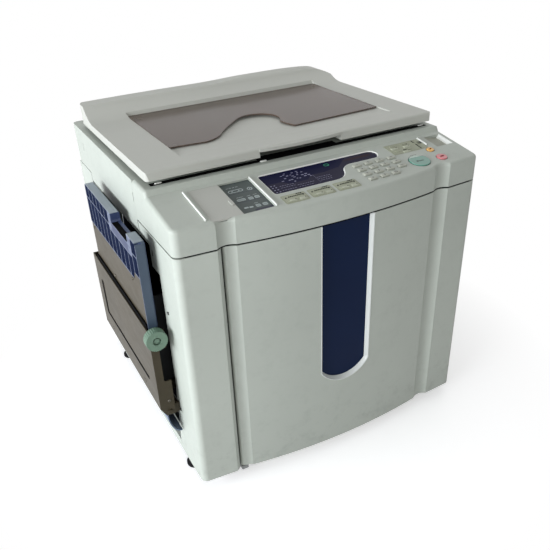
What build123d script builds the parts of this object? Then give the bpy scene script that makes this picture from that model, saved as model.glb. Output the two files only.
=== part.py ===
from build123d import *
import os
from math import atan, cos, degrees, radians, sin, sqrt, tan

# A digital duplicator: a drum printer in a cabinet with a flatbed scanner on top.
# Millimetres. +X runs to the user's right, +Y to the back and +Z up. The origin is on the
# floor, under the centre of the box that the machine fills with both trays folded up.

# Cabinet
body_width = 630.0
body_back = 304.0
front_face = -318.4
door_bow = 16.6
corner_radius = 14.0
corner_drop = 4.1
flute_inner = body_width / 2 - 109.0
flute_width = 35.0
flute_depth = 6.7
skin = 3.0
fit = 0.2
running = 0.05
clear = 0.3

# Heights
foot_height = 24.0
skirt_drop = 0.6
seam_z = 525.5
seam_gap = 3.0
top_z = 602.8
scanner_low_z = 497.3
scanner_rear_low_z = 515.5

# Control panel
panel_edge_y = -313.5
panel_edge_z = 575.5
panel_angle = 8.8
panel_end_y = -197.3
strip_start_y = -191.7
split_y = -128.4
panel_wall = 7.0
panel_front_wall = 4.0
panel_edge_radius = 7.0

# Feed tray, on the left
extension_front_y = -225.0
extension_back_y = body_back - 193.0
feed_y = (extension_front_y + extension_back_y) / 2 - 3
tray_outer_x = -body_width / 2 - 41.6
tray_hinge_x = -body_width / 2 - 23.0
tray_hinge_z = 163.0
tray_frame_height = 180.0
tray_top_z = 529.0
elevator_travel = 95.0
recess_front_y = -220.0
recess_back_y = body_back - 99.0
sill_z = 46.0

# Print drum
drum_x = -20.0
drum_z = 300.0
drum_radius = 90.0
press_radius = 27.5
nip_gap = 1.5

half = body_width / 2
flute_outer = flute_inner + flute_width
skirt_z = foot_height - skirt_drop
panel_low_z = seam_z + seam_gap
slope = tan(radians(panel_angle))
os.makedirs("parts", exist_ok=True)


def x_prism(points, start, end, mode=Mode.ADD):
    """A (y, z) outline carried along X."""
    with BuildSketch(Plane.YZ.offset(start)) as outline:
        with BuildLine():
            Polyline(*points, close=True)
        make_face()
    extrude(outline.sketch, amount=end - start, mode=mode)


def y_prism(points, start, end, mode=Mode.ADD):
    """An (x, z) outline carried along Y."""
    with BuildSketch(Plane.XZ.offset(-start)) as outline:
        with BuildLine():
            Polyline(*points, close=True)
        make_face()
    extrude(outline.sketch, amount=start - end, mode=mode)


def block(low, high, mode=Mode.ADD):
    """A block from its lowest to its highest corner."""
    middle = [(a + b) / 2 for a, b in zip(low, high)]
    with Locations(tuple(middle)):
        Box(*[b - a for a, b in zip(low, high)], mode=mode)


def rod(axis, centre, radius, start, end, mode=Mode.ADD):
    """A round bar along an axis; centre holds its other two coordinates in X, Y, Z order."""
    plane = {"x": Plane.YZ.offset(start), "y": Plane.XZ.offset(-start), "z": Plane.XY.offset(start)}[axis]
    length = start - end if axis == "y" else end - start
    with BuildSketch(plane) as outline:
        with Locations(centre):
            Circle(radius)
    extrude(outline.sketch, amount=length, mode=mode)


def rounded_box(low, high, radius, mode=Mode.ADD):
    """A block whose upright edges are rounded."""
    with BuildSketch(Plane.XY.offset(low[2])) as outline:
        with Locations(((low[0] + high[0]) / 2, (low[1] + high[1]) / 2)):
            RectangleRounded(high[0] - low[0], high[1] - low[1], radius)
    extrude(outline.sketch, amount=high[2] - low[2], mode=mode)


def front_outline(y_back, inset=0.0):
    """The cabinet's plan: rounded corners, two flutes and a bowed middle, set in by a wall."""
    side = half - inset
    face = front_face + inset
    corner = face + corner_drop
    reach = corner_radius / sqrt(2)
    outline = [Line((-side, y_back), (side, y_back))]
    for way in (-1, 1):
        centre = (way * (side - corner_radius), corner + corner_radius)
        top = (way * side, corner + corner_radius)
        foot = (way * (side - corner_radius), corner)
        flute_mid = (way * (flute_outer + flute_inner) / 2, face + flute_depth)
        outline += [
            Line((way * side, y_back), top),
            ThreePointArc(top, (centre[0] + way * reach, centre[1] - reach), foot),
            Line(foot, (way * flute_outer, face)),
            ThreePointArc((way * flute_outer, face), flute_mid, (way * flute_inner, face)),
        ]
    outline.append(ThreePointArc((-flute_inner, face), (0, face - door_bow), (flute_inner, face)))
    return outline


def cabinet_slice(y_back, low_z, high_z, inset=0.0, mode=Mode.ADD):
    """A slab of the cabinet's plan between two heights."""
    with BuildSketch(Plane.XY.offset(low_z)) as plan:
        with BuildLine():
            front_outline(y_back, inset)
        make_face()
    extrude(plan.sketch, amount=high_z - low_z, mode=mode)


def slope_z(y):
    """Height of the sloping panel at a depth."""
    return panel_edge_z + (y - panel_edge_y) * slope


def above_slope(drop):
    """The (y, z) outline of the space over the panel and the flat strip behind it."""
    lead = front_face - 40
    back = split_y + 20
    return [
        (lead, slope_z(lead) - drop),
        (panel_end_y, slope_z(panel_end_y) - drop),
        (strip_start_y, top_z - drop),
        (back, top_z - drop),
        (back, top_z + 60),
        (lead, top_z + 60),
    ]


# The panel's own plane: u runs along X, v up the slope
panel_plane = Plane(
    origin=(0, panel_edge_y, panel_edge_z),
    x_dir=(1, 0, 0),
    z_dir=(0, -sin(radians(panel_angle)), cos(radians(panel_angle))),
)



def across(*places):
    """Places along the panel, which spread out with the cabinet's width."""
    spread = [place * body_width / 630.0 for place in places]
    return spread if len(spread) > 1 else spread[0]


# Places on the panel, in u and v
key_size = (across(17.0), 9.5)
key_columns = across(74.0, 99.3, 124.6)
key_rows = (60.4, 43.2, 26.0, 8.8)
side_column = across(151.0)
key_rise = 2.0
key_flange = 1.2
key_travel = 1.5
start_place = (across(194.0), 28.8)
start_radius = 20.5
reset_place = (across(242.0), 56.8)
reset_radius = 7.5
stop_place = (across(243.0), 23.4)
stop_radius = 10.5
film_u = across(-186.0, -127.0)
film_v = (1.0, 106.0)
shutter_width = across(57.0)
shutter_depth = 4.8
film_thick = 1.2
lens_depth = 3.2
lens_thick = 1.6
ridge_u = across(-250.5, -124.5, 250.0)
ridge_v = ((7.0, 106.0), (1.0, 106.0), (76.0, 107.0))
clip_u = (half - 51.0, half - 13.0)
clip_v = (62.0, 106.0)
clip_depth = 8.0


def lens_outline(grow=0.0):
    """The display window: a rounded block with an arm that ends in a half circle."""
    top, arm, low = 104.0 + grow, 74.0 - grow, 33.0 - grow
    left, end, neck, elbow, foot = across(-111.0, 124.0, 72.0, 56.5, 10.0)
    left -= grow
    mid = (top + arm) / 2
    return [
        Line((left + 6, top), (end, top)),
        ThreePointArc((end, top), (end + (top - arm) / 2, mid), (end, arm)),
        Line((end, arm), (neck, arm)),
        ThreePointArc((neck, arm), (elbow + grow, 70.5 - grow), (elbow - 10.5 + grow, 59)),
        ThreePointArc((elbow - 10.5 + grow, 59), (elbow - 23.5 + grow, 39.5), (foot, low)),
        Line((foot, low), (left + 6, low)),
        ThreePointArc((left + 6, low), (left + 1.76, low + 1.76), (left, low + 6)),
        Line((left, low + 6), (left, top - 6)),
        ThreePointArc((left, top - 6), (left + 1.76, top - 1.76), (left + 6, top)),
    ]


def panel_rectangle(u, v, depth, thick, mode=Mode.ADD):
    """A flat block on the panel's plane, whose top lies a depth below its surface."""
    with BuildSketch(panel_plane.offset(-depth - thick)) as outline:
        with Locations(((u[0] + u[1]) / 2, (v[0] + v[1]) / 2)):
            Rectangle(u[1] - u[0], v[1] - v[0])
    extrude(outline.sketch, amount=thick, mode=mode)


# Base pan with its foot bosses and the door's lower hinge ear
pan_edge = half - skin - fit
pan_front_y = front_face + 26.4
pan_back_y = body_back - skin - fit
foot_places = [(x, y) for x in (17 - half, half - 17) for y in (front_face + 90.4, body_back - 82)]
foot_stem = 5.0
stand_bolt_spacing = (480.0, 400.0)
stand_bolt_radius = 3.3
stand_bolt_y = -10.0
hinge_radius = 7.0
door_pin_radius = 3.0
door_pin_x = -(flute_outer - 20.5)
door_pin_y = front_face + flute_depth + hinge_radius + 0.2
ear_z = (13.0, 22.0)

with BuildPart() as base_pan:
    block((-pan_edge, pan_front_y, foot_height), (pan_edge, pan_back_y, foot_height + skin))
    rim_top = sill_z - skin - fit
    block((-pan_edge, pan_front_y, foot_height), (-pan_edge + skin, pan_back_y, rim_top))
    block((pan_edge - skin, pan_front_y, foot_height), (pan_edge, pan_back_y, rim_top))
    block((-pan_edge, pan_front_y, foot_height), (pan_edge, pan_front_y + skin, rim_top))
    block((-pan_edge, pan_back_y - skin, foot_height), (pan_edge, pan_back_y, rim_top))
    ear_low = (door_pin_x - hinge_radius, door_pin_y - hinge_radius, ear_z[0])
    block(ear_low, (door_pin_x + hinge_radius, pan_front_y + 8, ear_z[1]))
    block(
        (door_pin_x - hinge_radius, pan_front_y, ear_z[0]),
        (door_pin_x + hinge_radius, pan_front_y + 8, foot_height + skin),
    )
    for place in foot_places:
        rod("z", place, foot_stem + running, foot_height - 1, foot_height + skin + 1, Mode.SUBTRACT)
    for way_x in (-1, 1):
        for way_y in (-1, 1):
            bolt = (way_x * stand_bolt_spacing[0] / 2, stand_bolt_y + way_y * stand_bolt_spacing[1] / 2)
            rod("z", bolt, stand_bolt_radius, foot_height - 1, foot_height + skin + 1, Mode.SUBTRACT)
    rod("z", (door_pin_x, door_pin_y), door_pin_radius + running, ear_z[0] - 1, ear_z[1] + 1, Mode.SUBTRACT)
base_pan.part.label = "base_pan"
export_step(base_pan.part, "parts/base_pan.step")

# Four levelling feet: pad, stem and lock nut in one turned piece each
foot_radius = 19.5
with BuildPart() as levelling_feet:
    for place in foot_places:
        rod("z", place, foot_radius, 0, 5)
        with BuildSketch(Plane.XY.offset(5)) as cone_foot:
            with Locations(place):
                Circle(foot_radius)
        extrude(cone_foot.sketch, amount=6, taper=50)
        rod("z", place, foot_stem, 5, foot_height + skin + 12)
        with BuildSketch(Plane.XY.offset(foot_height - 6)) as nut:
            with Locations(place):
                RegularPolygon(9, 6)
        extrude(nut.sketch, amount=6)
levelling_feet.part.label = "levelling_feet"
export_step(levelling_feet.part, "parts/levelling_feet.step")

# The two frame plates that carry the print section, and the feed side plate between them
frame_left_x = 47.0 - half
frame_right_x = half - skin - 4
front_frame_y = -256.0
rear_frame_y = body_back - 124.0
plate = 3.0
press_z = drum_z - drum_radius - press_radius - nip_gap
press_journal = 6.0
pickup_x = 77.0 - half
pickup_z = 236.0
pickup_radius = 20.0
pickup_shaft = 4.0
carrier_radius = 46.0
carrier_hole = drum_radius + 10
spindle_radius = 10.0
master_low = (frame_left_x + 16, 348.0)
master_high = (drum_x - carrier_hole - 13, 467.0)
scanner_floor_z = 537.0
scanner_floor = 3.0


def frame_plate(y, top, drum_bore):
    """A frame plate with its drum, roller and master-unit openings."""
    block((frame_left_x, y, foot_height + skin), (frame_right_x, y + plate, top))
    rod("y", (drum_x, drum_z), drum_bore, y - 1, y + plate + 1, Mode.SUBTRACT)
    rod("y", (drum_x, press_z), press_journal + running, y - 1, y + plate + 1, Mode.SUBTRACT)
    rod("y", (pickup_x, pickup_z), pickup_shaft + running, y - 1, y + plate + 1, Mode.SUBTRACT)


with BuildPart() as front_frame:
    frame_plate(front_frame_y, panel_low_z, carrier_hole)
    block(
        (master_low[0] - clear, front_frame_y - 1, master_low[1] - clear),
        (master_high[0] + clear, front_frame_y + plate + 1, master_high[1] + clear),
        Mode.SUBTRACT,
    )
    for x in (120, 200):
        low = (x, front_frame_y - 1, 110)
        block(low, (x + 60, front_frame_y + plate + 1, 170), Mode.SUBTRACT)
front_frame.part.label = "front_frame"
export_step(front_frame.part, "parts/front_frame.step")

with BuildPart() as rear_frame:
    frame_plate(rear_frame_y, scanner_floor_z, spindle_radius + running)
rear_frame.part.label = "rear_frame"
export_step(rear_frame.part, "parts/rear_frame.step")

arm_places = (feed_y - 90, feed_y + 90)
arm_width = 12.0
arm_thick = 22.0
with BuildPart() as feed_side_plate:
    shape = [
        (front_frame_y + plate, foot_height + skin),
        (rear_frame_y, foot_height + skin),
        (rear_frame_y, scanner_floor_z),
        (split_y + 12, scanner_floor_z),
        (split_y + 12, scanner_low_z - 2),
        (front_frame_y + plate, scanner_low_z - 2),
    ]
    x_prism(shape, frame_left_x, frame_left_x + plate)
    slot = (frame_left_x - 1, feed_y - 155, pickup_z - 42)
    block(slot, (frame_left_x + plate + 1, feed_y + 155, pickup_z + 14), Mode.SUBTRACT)
    arm_top = tray_hinge_z + 9
    for place in arm_places:
        low = (frame_left_x - 1, place - arm_width / 2 - clear, arm_top - arm_thick - elevator_travel - 2)
        high = (frame_left_x + plate + 1, place + arm_width / 2 + clear, arm_top + 2)
        block(low, high, Mode.SUBTRACT)
feed_side_plate.part.label = "feed_side_plate"
export_step(feed_side_plate.part, "parts/feed_side_plate.step")

# Front-left column: the fixed strip beside the door, wrapped round the corner
door_left_x = door_pin_x - hinge_radius
column_right_x = door_left_x - 4.1
column_step_z = 456.0
column_inner_y = -181.6
column_top_y = split_y - 3
relief = (4.0, 6.2)
with BuildPart() as front_column:
    cabinet_slice(column_top_y, skirt_z, seam_z)
    cabinet_slice(body_back, skirt_z - 1, seam_z + 1, skin, Mode.SUBTRACT)
    block((column_right_x, front_face - 40, 0), (half + 1, body_back, top_z), Mode.SUBTRACT)
    block((column_right_x - skin, front_face + 4, skirt_z), (column_right_x, pan_front_y - 3, seam_z))
    with BuildSketch(Plane.XY.offset(skirt_z - 1)) as door_relief:
        with BuildLine():
            Polyline(
                (column_right_x - relief[0], front_face + 3.5),
                (column_right_x + 1, front_face + 3.5 + relief[1]),
                (column_right_x + 1, front_face - 5),
                (column_right_x - relief[0], front_face - 5),
                close=True,
            )
        make_face()
    extrude(door_relief.sketch, amount=seam_z - skirt_z + 2, mode=Mode.SUBTRACT)
    cut_back = [
        (column_top_y + 1, skirt_z - 1),
        (recess_front_y + 22, skirt_z - 1),
        (recess_front_y + 22, 40),
        (recess_front_y, 215),
        (recess_front_y, column_step_z),
        (column_inner_y, column_step_z),
        (column_inner_y, scanner_low_z + 2),
        (column_top_y + 1, scanner_low_z + 2),
    ]
    x_prism(cut_back, -half - 1, -half + skin + 1, Mode.SUBTRACT)
front_column.part.label = "front_column"
export_step(front_column.part, "parts/front_column.step")

# Left side cover: the sill under the tray recess and the panel behind it
with BuildPart() as left_side_cover:
    sill_start = recess_front_y + 22.6
    shape = [
        (sill_start, skirt_z),
        (body_back, skirt_z),
        (body_back, scanner_rear_low_z - 2),
        (recess_back_y, scanner_rear_low_z - 2),
        (recess_back_y, sill_z),
        (sill_start, sill_z),
    ]
    x_prism(shape, -half, -half + skin)
    lip = 14.0
    block((-half, sill_start, sill_z - skin), (-half + skin + lip, recess_back_y + skin, sill_z))
    top = scanner_rear_low_z - 20
    block((-half, recess_back_y, sill_z - skin), (-half + skin + lip, recess_back_y + skin, top))
left_side_cover.part.label = "left_side_cover"
export_step(left_side_cover.part, "parts/left_side_cover.step")

# Right side cover with the paper exit and the receiving tray's hinge lugs
exit_low = (feed_y - 140, 225.0)
exit_high = (feed_y + 150, 300.0)
out_hinge_x = half + 13
out_hinge_z = 160.0
out_pin = 4.0
lug_places = (feed_y - 90, feed_y + 90)
lug_half = 6.0
side_start_y = pan_front_y - 1
with BuildPart() as right_side_cover:
    shape = [
        (side_start_y, skirt_z),
        (body_back, skirt_z),
        (body_back, scanner_rear_low_z - 2),
        (recess_back_y - 3, scanner_rear_low_z - 2),
        (recess_back_y - 3, scanner_low_z - 1.5),
        (split_y - 3, scanner_low_z - 1.5),
        (split_y - 3, seam_z),
        (side_start_y, seam_z),
    ]
    x_prism(shape, half - skin, half)
    for place in lug_places:
        rod("y", (out_hinge_x, out_hinge_z), 9, place - lug_half, place + lug_half)
        block(
            (half - skin, place - lug_half, out_hinge_z - 9),
            (out_hinge_x, place + lug_half, out_hinge_z + 9),
        )
        bore = out_pin + running
        rod("y", (out_hinge_x, out_hinge_z), bore, place - 10, place + 10, Mode.SUBTRACT)
    block(
        (half - skin - 1, exit_low[0], exit_low[1]),
        (half + 1, exit_high[0], exit_high[1]),
        Mode.SUBTRACT,
    )
right_side_cover.part.label = "right_side_cover"
export_step(right_side_cover.part, "parts/right_side_cover.step")

# Rear cover with its raised drive housing, vents and inlet cut-out
duct_low = (145.0 - half, 130.0)
duct_high = (half - 195.0, 360.0)
duct_depth = 31.6
inlet_place = (85.0 - half, 85.0)
inlet_size = (50.0, 28.0)
with BuildPart() as rear_cover:
    edge = half - skin - fit
    block((-edge, body_back - skin, skirt_z), (edge, body_back, scanner_rear_low_z - 2))
    with BuildSketch(Plane.XZ.offset(-body_back)) as duct:
        with Locations(((duct_low[0] + duct_high[0]) / 2, (duct_low[1] + duct_high[1]) / 2)):
            RectangleRounded(duct_high[0] - duct_low[0], duct_high[1] - duct_low[1], 18)
    extrude(duct.sketch, amount=-duct_depth, taper=8)
    with BuildSketch(Plane.XZ.offset(-body_back + skin)) as hollow:
        with Locations(((duct_low[0] + duct_high[0]) / 2, (duct_low[1] + duct_high[1]) / 2)):
            RectangleRounded(duct_high[0] - duct_low[0] - 2 * skin, duct_high[1] - duct_low[1] - 2 * skin, 15)
    extrude(hollow.sketch, amount=-duct_depth, taper=8, mode=Mode.SUBTRACT)
    for row in range(9):
        z = 150 + row * 14
        block((half - 150, body_back - skin - 1, z), (half - 50, body_back + 1, z + 5), Mode.SUBTRACT)
    block(
        (inlet_place[0] - inlet_size[0] / 2, body_back - skin - 1, inlet_place[1] - inlet_size[1] / 2),
        (inlet_place[0] + inlet_size[0] / 2, body_back + 1, inlet_place[1] + inlet_size[1] / 2),
        Mode.SUBTRACT,
    )
rear_cover.part.label = "rear_cover"
export_step(rear_cover.part, "parts/rear_cover.step")

# Mains inlet with its three pins
with BuildPart() as power_inlet:
    half_w, half_h = inlet_size[0] / 2 - fit, inlet_size[1] / 2 - fit
    low = (inlet_place[0] - half_w, body_back - 28, inlet_place[1] - half_h)
    block(low, (inlet_place[0] + half_w, body_back, inlet_place[1] + half_h))
    flange = 5.0
    block(
        (inlet_place[0] - half_w - flange, body_back, inlet_place[1] - half_h - flange),
        (inlet_place[0] + half_w + flange, body_back + 2, inlet_place[1] + half_h + flange),
    )
    block(
        (inlet_place[0] - 12, body_back - 18, inlet_place[1] - 8),
        (inlet_place[0] + 12, body_back + 3, inlet_place[1] + 8),
        Mode.SUBTRACT,
    )
    for pin_x, pin_z in ((-7, -2.5), (0, 2.5), (7, -2.5)):
        block(
            (inlet_place[0] + pin_x - 1, body_back - 20, inlet_place[1] + pin_z - 2),
            (inlet_place[0] + pin_x + 1, body_back - 6, inlet_place[1] + pin_z + 2),
        )
power_inlet.part.label = "power_inlet"
export_step(power_inlet.part, "parts/power_inlet.step")

def panel_top_edges(body):
    """The housing's outer top edges: along the bowed front, round its corners and up both sides."""
    found = []
    for edge in body.edges():
        box = edge.bounding_box()
        along_front = edge.center().Y < panel_edge_y + corner_radius
        along_side = abs(edge.center().X) > half - corner_radius
        whole_width = box.max.X - box.min.X > body_width - 1
        if box.min.Z > panel_edge_z - 5 and (along_front or along_side) and not whole_width:
            found.append(edge)
    return found


# Panel housing: the sloping top front of the cabinet
rib_places = across(-222.0, 222.0)
with BuildPart() as panel_space:
    cabinet_slice(split_y - skin, panel_low_z - 1, top_z + 20, panel_front_wall)
    x_prism(above_slope(panel_wall), -half - 1, half + 1, Mode.SUBTRACT)
    for place in rib_places:
        block((place - 1.5, -400, 0), (place + 1.5, 0, top_z + 30), Mode.SUBTRACT)

with BuildPart() as panel_housing:
    cabinet_slice(split_y, panel_low_z, top_z)
    x_prism(above_slope(0), -half - 1, half + 1, Mode.SUBTRACT)
    fillet(panel_top_edges(panel_housing.part), panel_edge_radius)
    add(panel_space.part, mode=Mode.SUBTRACT)
    boss_low = (door_pin_x - hinge_radius - 1, door_pin_y - hinge_radius + 3, panel_low_z)
    block(boss_low, (door_pin_x + hinge_radius + 1, door_pin_y + hinge_radius + 2, panel_low_z + 16))
    rod(
        "z",
        (door_pin_x, door_pin_y),
        door_pin_radius + running,
        panel_low_z - 1,
        panel_low_z + 13,
        Mode.SUBTRACT,
    )
    panel_rectangle((clip_u[0] - 3, clip_u[1] + 3), (clip_v[0] - 3, clip_v[1] + 3), panel_wall - 1, 5)
    for u, v in zip(ridge_u, ridge_v):
        panel_rectangle((u - 1.5, u + 1.5), v, -2.5, 3)
    shutter_u = (film_u[0] - shutter_width - clear, film_u[1] + fit)
    shutter_v = (film_v[0] - fit, film_v[1] + fit)
    panel_rectangle(shutter_u, shutter_v, -1, shutter_depth + 1, Mode.SUBTRACT)
    with BuildSketch(panel_plane.offset(-lens_depth)) as lens_pocket:
        with BuildLine():
            lens_outline(fit)
        make_face()
    extrude(lens_pocket.sketch, amount=lens_depth + 4, mode=Mode.SUBTRACT)
    wedge_plane = Plane(
        origin=panel_plane.from_local_coords(Vector(0, clip_v[0], 0)),
        x_dir=(1, 0, 0),
        z_dir=panel_plane.y_dir,
    )
    with BuildSketch(wedge_plane) as wedge:
        with BuildLine():
            Polyline(
                (clip_u[0], 0), (clip_u[1], clip_depth), (clip_u[1] + 1, -2), (clip_u[0], -2), close=True
            )
        make_face()
    extrude(wedge.sketch, amount=clip_v[1] - clip_v[0], mode=Mode.SUBTRACT)
    key_places = [(u, v) for v in key_rows for u in key_columns]
    key_places += [(side_column, v) for v in key_rows[:3]]
    with BuildSketch(panel_plane.offset(-panel_wall - 2)) as key_holes:
        with Locations(*key_places):
            Rectangle(key_size[0] + 2 * clear, key_size[1] + 2 * clear)
        for place, radius in ((start_place, start_radius), (reset_place, reset_radius), (stop_place, stop_radius)):
            with Locations(place):
                Circle(radius + clear)
    extrude(key_holes.sketch, amount=panel_wall + 6, mode=Mode.SUBTRACT)
panel_housing.part.label = "panel_housing"
export_step(panel_housing.part, "parts/panel_housing.step")

# Display window
with BuildPart() as display_window:
    with BuildSketch(panel_plane.offset(-lens_depth)) as lens:
        with BuildLine():
            lens_outline()
        make_face()
    extrude(lens.sketch, amount=lens_thick)
display_window.part.label = "display_window"
export_step(display_window.part, "parts/display_window.step")

# Printed film keys: the dark one under the shutter and the pale ones round the display
film_groups = across(-85.0, -33.0, 19.4)
group_half = (across(23.5), 13.5)
group_v = 10.0
quick_film_u = across(165.0, 246.0)
quick_film_v = (66.0, 105.0)
with BuildPart() as panel_films:
    panel_rectangle(film_u, film_v, shutter_depth - film_thick, film_thick)
    for u in film_groups:
        with BuildSketch(panel_plane) as group:
            with Locations((u, group_v)):
                RectangleRounded(2 * group_half[0], 2 * group_half[1], 3)
        extrude(group.sketch, amount=0.4)
        for side in (-1, 1):
            with BuildSketch(panel_plane) as bump:
                with Locations((u + side * across(11), group_v - 6)):
                    RectangleRounded(across(13), 7, 2)
            extrude(bump.sketch, amount=1.4)
    panel_rectangle(quick_film_u, quick_film_v, -0.4, 0.4)
    for u, v in ((181, 96), (206, 96), (181, 77), (206, 77), (235, 90)):
        with BuildSketch(panel_plane) as bump:
            with Locations((across(u), v)):
                RectangleRounded(across(12), 7, 2)
        extrude(bump.sketch, amount=1.4)
panel_films.part.label = "panel_films"
export_step(panel_films.part, "parts/panel_films.step")

# Sliding shutter over the dark film, with its finger tab
with BuildPart() as memory_shutter:
    u_open = (film_u[0] - shutter_width, film_u[0] - clear)
    panel_rectangle(u_open, film_v, clear, shutter_depth - film_thick - 2 * clear)
    with BuildSketch(panel_plane.offset(-clear)) as tab:
        with Locations((u_open[1] - 4, 41)):
            RectangleRounded(6, 16, 2.5)
    extrude(tab.sketch, amount=2)
memory_shutter.part.label = "memory_shutter"
export_step(memory_shutter.part, "parts/memory_shutter.step")


def key_stem(place, size, radius=None):
    """A key's cap and its flange under the panel, rectangular or round."""
    under = panel_wall + 0.4 + key_flange
    with BuildSketch(panel_plane.offset(-under)) as flange:
        with Locations(place):
            if radius:
                Circle(radius + 1)
            else:
                Rectangle(size[0] + 2, size[1] + 2)
    extrude(flange.sketch, amount=key_flange)
    with BuildSketch(panel_plane.offset(-under)) as cap:
        with Locations(place):
            if radius:
                Circle(radius)
            else:
                RectangleRounded(size[0], size[1], 1.5)
    extrude(cap.sketch, amount=under + key_rise)


# Twelve number keys, the three beside them, and the start, reset and stop keys
key_names = [f"key_{n}" for n in (1, 2, 3, 4, 5, 6, 7, 8, 9)] + ["key_star", "key_0", "key_clear"]
key_names += ["key_side_upper", "key_side_middle", "key_side_lower"]
for name, place in zip(key_names, key_places):
    with BuildPart() as key:
        key_stem(place, key_size)
        chamfer(key.faces().sort_by(Axis.Z)[-1].edges(), 0.6)
    key.part.label = name
    export_step(key.part, f"parts/{name}.step")

round_keys = (
    ("start_key", start_place, start_radius),
    ("reset_key", reset_place, reset_radius),
    ("stop_key", stop_place, stop_radius),
)
for name, place, radius in round_keys:
    with BuildPart() as key:
        key_stem(place, None, radius)
        fillet(key.faces().sort_by(Axis.Z)[-1].edges(), 1.2)
        if name == "start_key":
            with BuildSketch(panel_plane.offset(key_rise - 1.4)) as step:
                with Locations((place[0], place[1] + radius)):
                    Rectangle(2 * radius, radius * 0.8)
            extrude(step.sketch, amount=4, mode=Mode.SUBTRACT)
    key.part.label = name
    export_step(key.part, f"parts/{name}.step")

# Scanner housing: the deck round the glass, its walls and its floor
glass_low = (95.0 - half, -100.0)
glass_high = (half - 95.0, body_back - 92)
glass_thick = 4.0
rebate = 6.0
deck_thick = 8.0
scan_wall = 3.5
cover_pin_y = body_back - 48.0
cover_pin_z = 615.5
cover_pin_radius = 3.0
cover_hinge_places = (-200.0, 200.0)
cover_lug_half = 10.0
scan_front_y = split_y + 0.4
step_y = recess_back_y - 3
slot_depth = 1.5
with BuildPart() as scanner_housing:
    rounded_box((-half, scan_front_y - 12, scanner_low_z), (half, body_back, top_z), 12)
    block((-half - 1, scan_front_y - 30, 0), (half + 1, scan_front_y, top_z + 1), Mode.SUBTRACT)
    inner = half - scan_wall
    block(
        (-inner, scan_front_y + scan_wall, scanner_low_z - 1),
        (inner, body_back - scan_wall, scanner_floor_z),
        Mode.SUBTRACT,
    )
    block(
        (-inner, scan_front_y + scan_wall, scanner_floor_z + scanner_floor),
        (inner, body_back - scan_wall, top_z - deck_thick),
        Mode.SUBTRACT,
    )
    block((-half - 1, step_y, 0), (half + 1, body_back + 1, scanner_rear_low_z), Mode.SUBTRACT)
    block(
        (glass_low[0] + rebate, glass_low[1] + rebate, top_z - deck_thick - 1),
        (glass_high[0] - rebate, glass_high[1] - rebate, top_z + 1),
        Mode.SUBTRACT,
    )
    block(
        (glass_low[0] - fit, glass_low[1] - fit, top_z - glass_thick),
        (glass_high[0] + fit, glass_high[1] + fit, top_z + 1),
        Mode.SUBTRACT,
    )
    for side in (-half, half):
        for slot_y, slot_z in ((scan_front_y + 4, 569.0), (body_back - 70, 564.0)):
            block(
                (side - slot_depth, slot_y - 1.5, slot_z - 9),
                (side + slot_depth, slot_y + 1.5, slot_z + 9),
                Mode.SUBTRACT,
            )
    for place in cover_hinge_places:
        low_x, high_x = place - cover_lug_half, place + cover_lug_half
        block((low_x, cover_pin_y - 6, top_z - 2), (high_x, cover_pin_y + 6, cover_pin_z))
        rod("x", (cover_pin_y, cover_pin_z), 6, low_x, high_x)
        bore = cover_pin_radius + running
        rod("x", (cover_pin_y, cover_pin_z), bore, low_x - 1, high_x + 1, Mode.SUBTRACT)
scanner_housing.part.label = "scanner_housing"
export_step(scanner_housing.part, "parts/scanner_housing.step")

with BuildPart() as platen_glass:
    block((*glass_low, top_z - glass_thick), (*glass_high, top_z))
platen_glass.part.label = "platen_glass"
export_step(platen_glass.part, "parts/platen_glass.step")

# Scanner rails and the carriage that runs on them
rail_radius = 5.0
rail_places = (-60.0, body_back - 134)
rail_z = 560.0
with BuildPart() as scanner_rails:
    for y in rail_places:
        rod("x", (y, rail_z), rail_radius, -half + scan_wall, half - scan_wall)
scanner_rails.part.label = "scanner_rails"
export_step(scanner_rails.part, "parts/scanner_rails.step")

carriage_home_x = 50.0 - half
carriage_half = 28.0
carriage_y = (-95.0, body_back - 99)
with BuildPart() as scan_carriage:
    x0, x1 = carriage_home_x - carriage_half, carriage_home_x + carriage_half
    block((x0, carriage_y[0], rail_z - 12), (x1, carriage_y[1], rail_z + 24))
    block((x0 + 4, carriage_y[0] + 12, rail_z + 10), (x1 - 4, carriage_y[1] - 12, rail_z + 25), Mode.SUBTRACT)
    rod("y", (carriage_home_x - 12, rail_z + 16), 4, carriage_y[0] + 11, carriage_y[1] - 11)
    mirror_bar = [(carriage_home_x + 2, rail_z + 9), (carriage_home_x + 18, rail_z + 9)]
    mirror_bar += [(carriage_home_x + 18, rail_z + 22)]
    y_prism(mirror_bar, carriage_y[0] + 11, carriage_y[1] - 11)
    for y in rail_places:
        rod("x", (y, rail_z), rail_radius + running, x0 - 1, x1 + 1, Mode.SUBTRACT)
scan_carriage.part.label = "scan_carriage"
export_step(scan_carriage.part, "parts/scan_carriage.step")

# Platen cover: a low lid that rises to a hump over its hinges
cover_half = half - 10.6
cover_front_y = -181.6
cover_back_y = body_back - 40.1
cover_low_z = 612.6
cover_plate_z = 629.2
hump_z = 661.5
hump_left_z = 655.5
hump_start_y = cover_back_y - 113.9
pocket_x = (93.0 - half, half - 71.0)
pocket_y = (-137.0, body_back - 126)
pocket_depth = 12.0
pocket_slope = 20.0
smoked_thick = 2.5
smoked_drop = 0.2
grip_half = 87.0
grip_height = 9.5
grip_bow = 5.5


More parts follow.
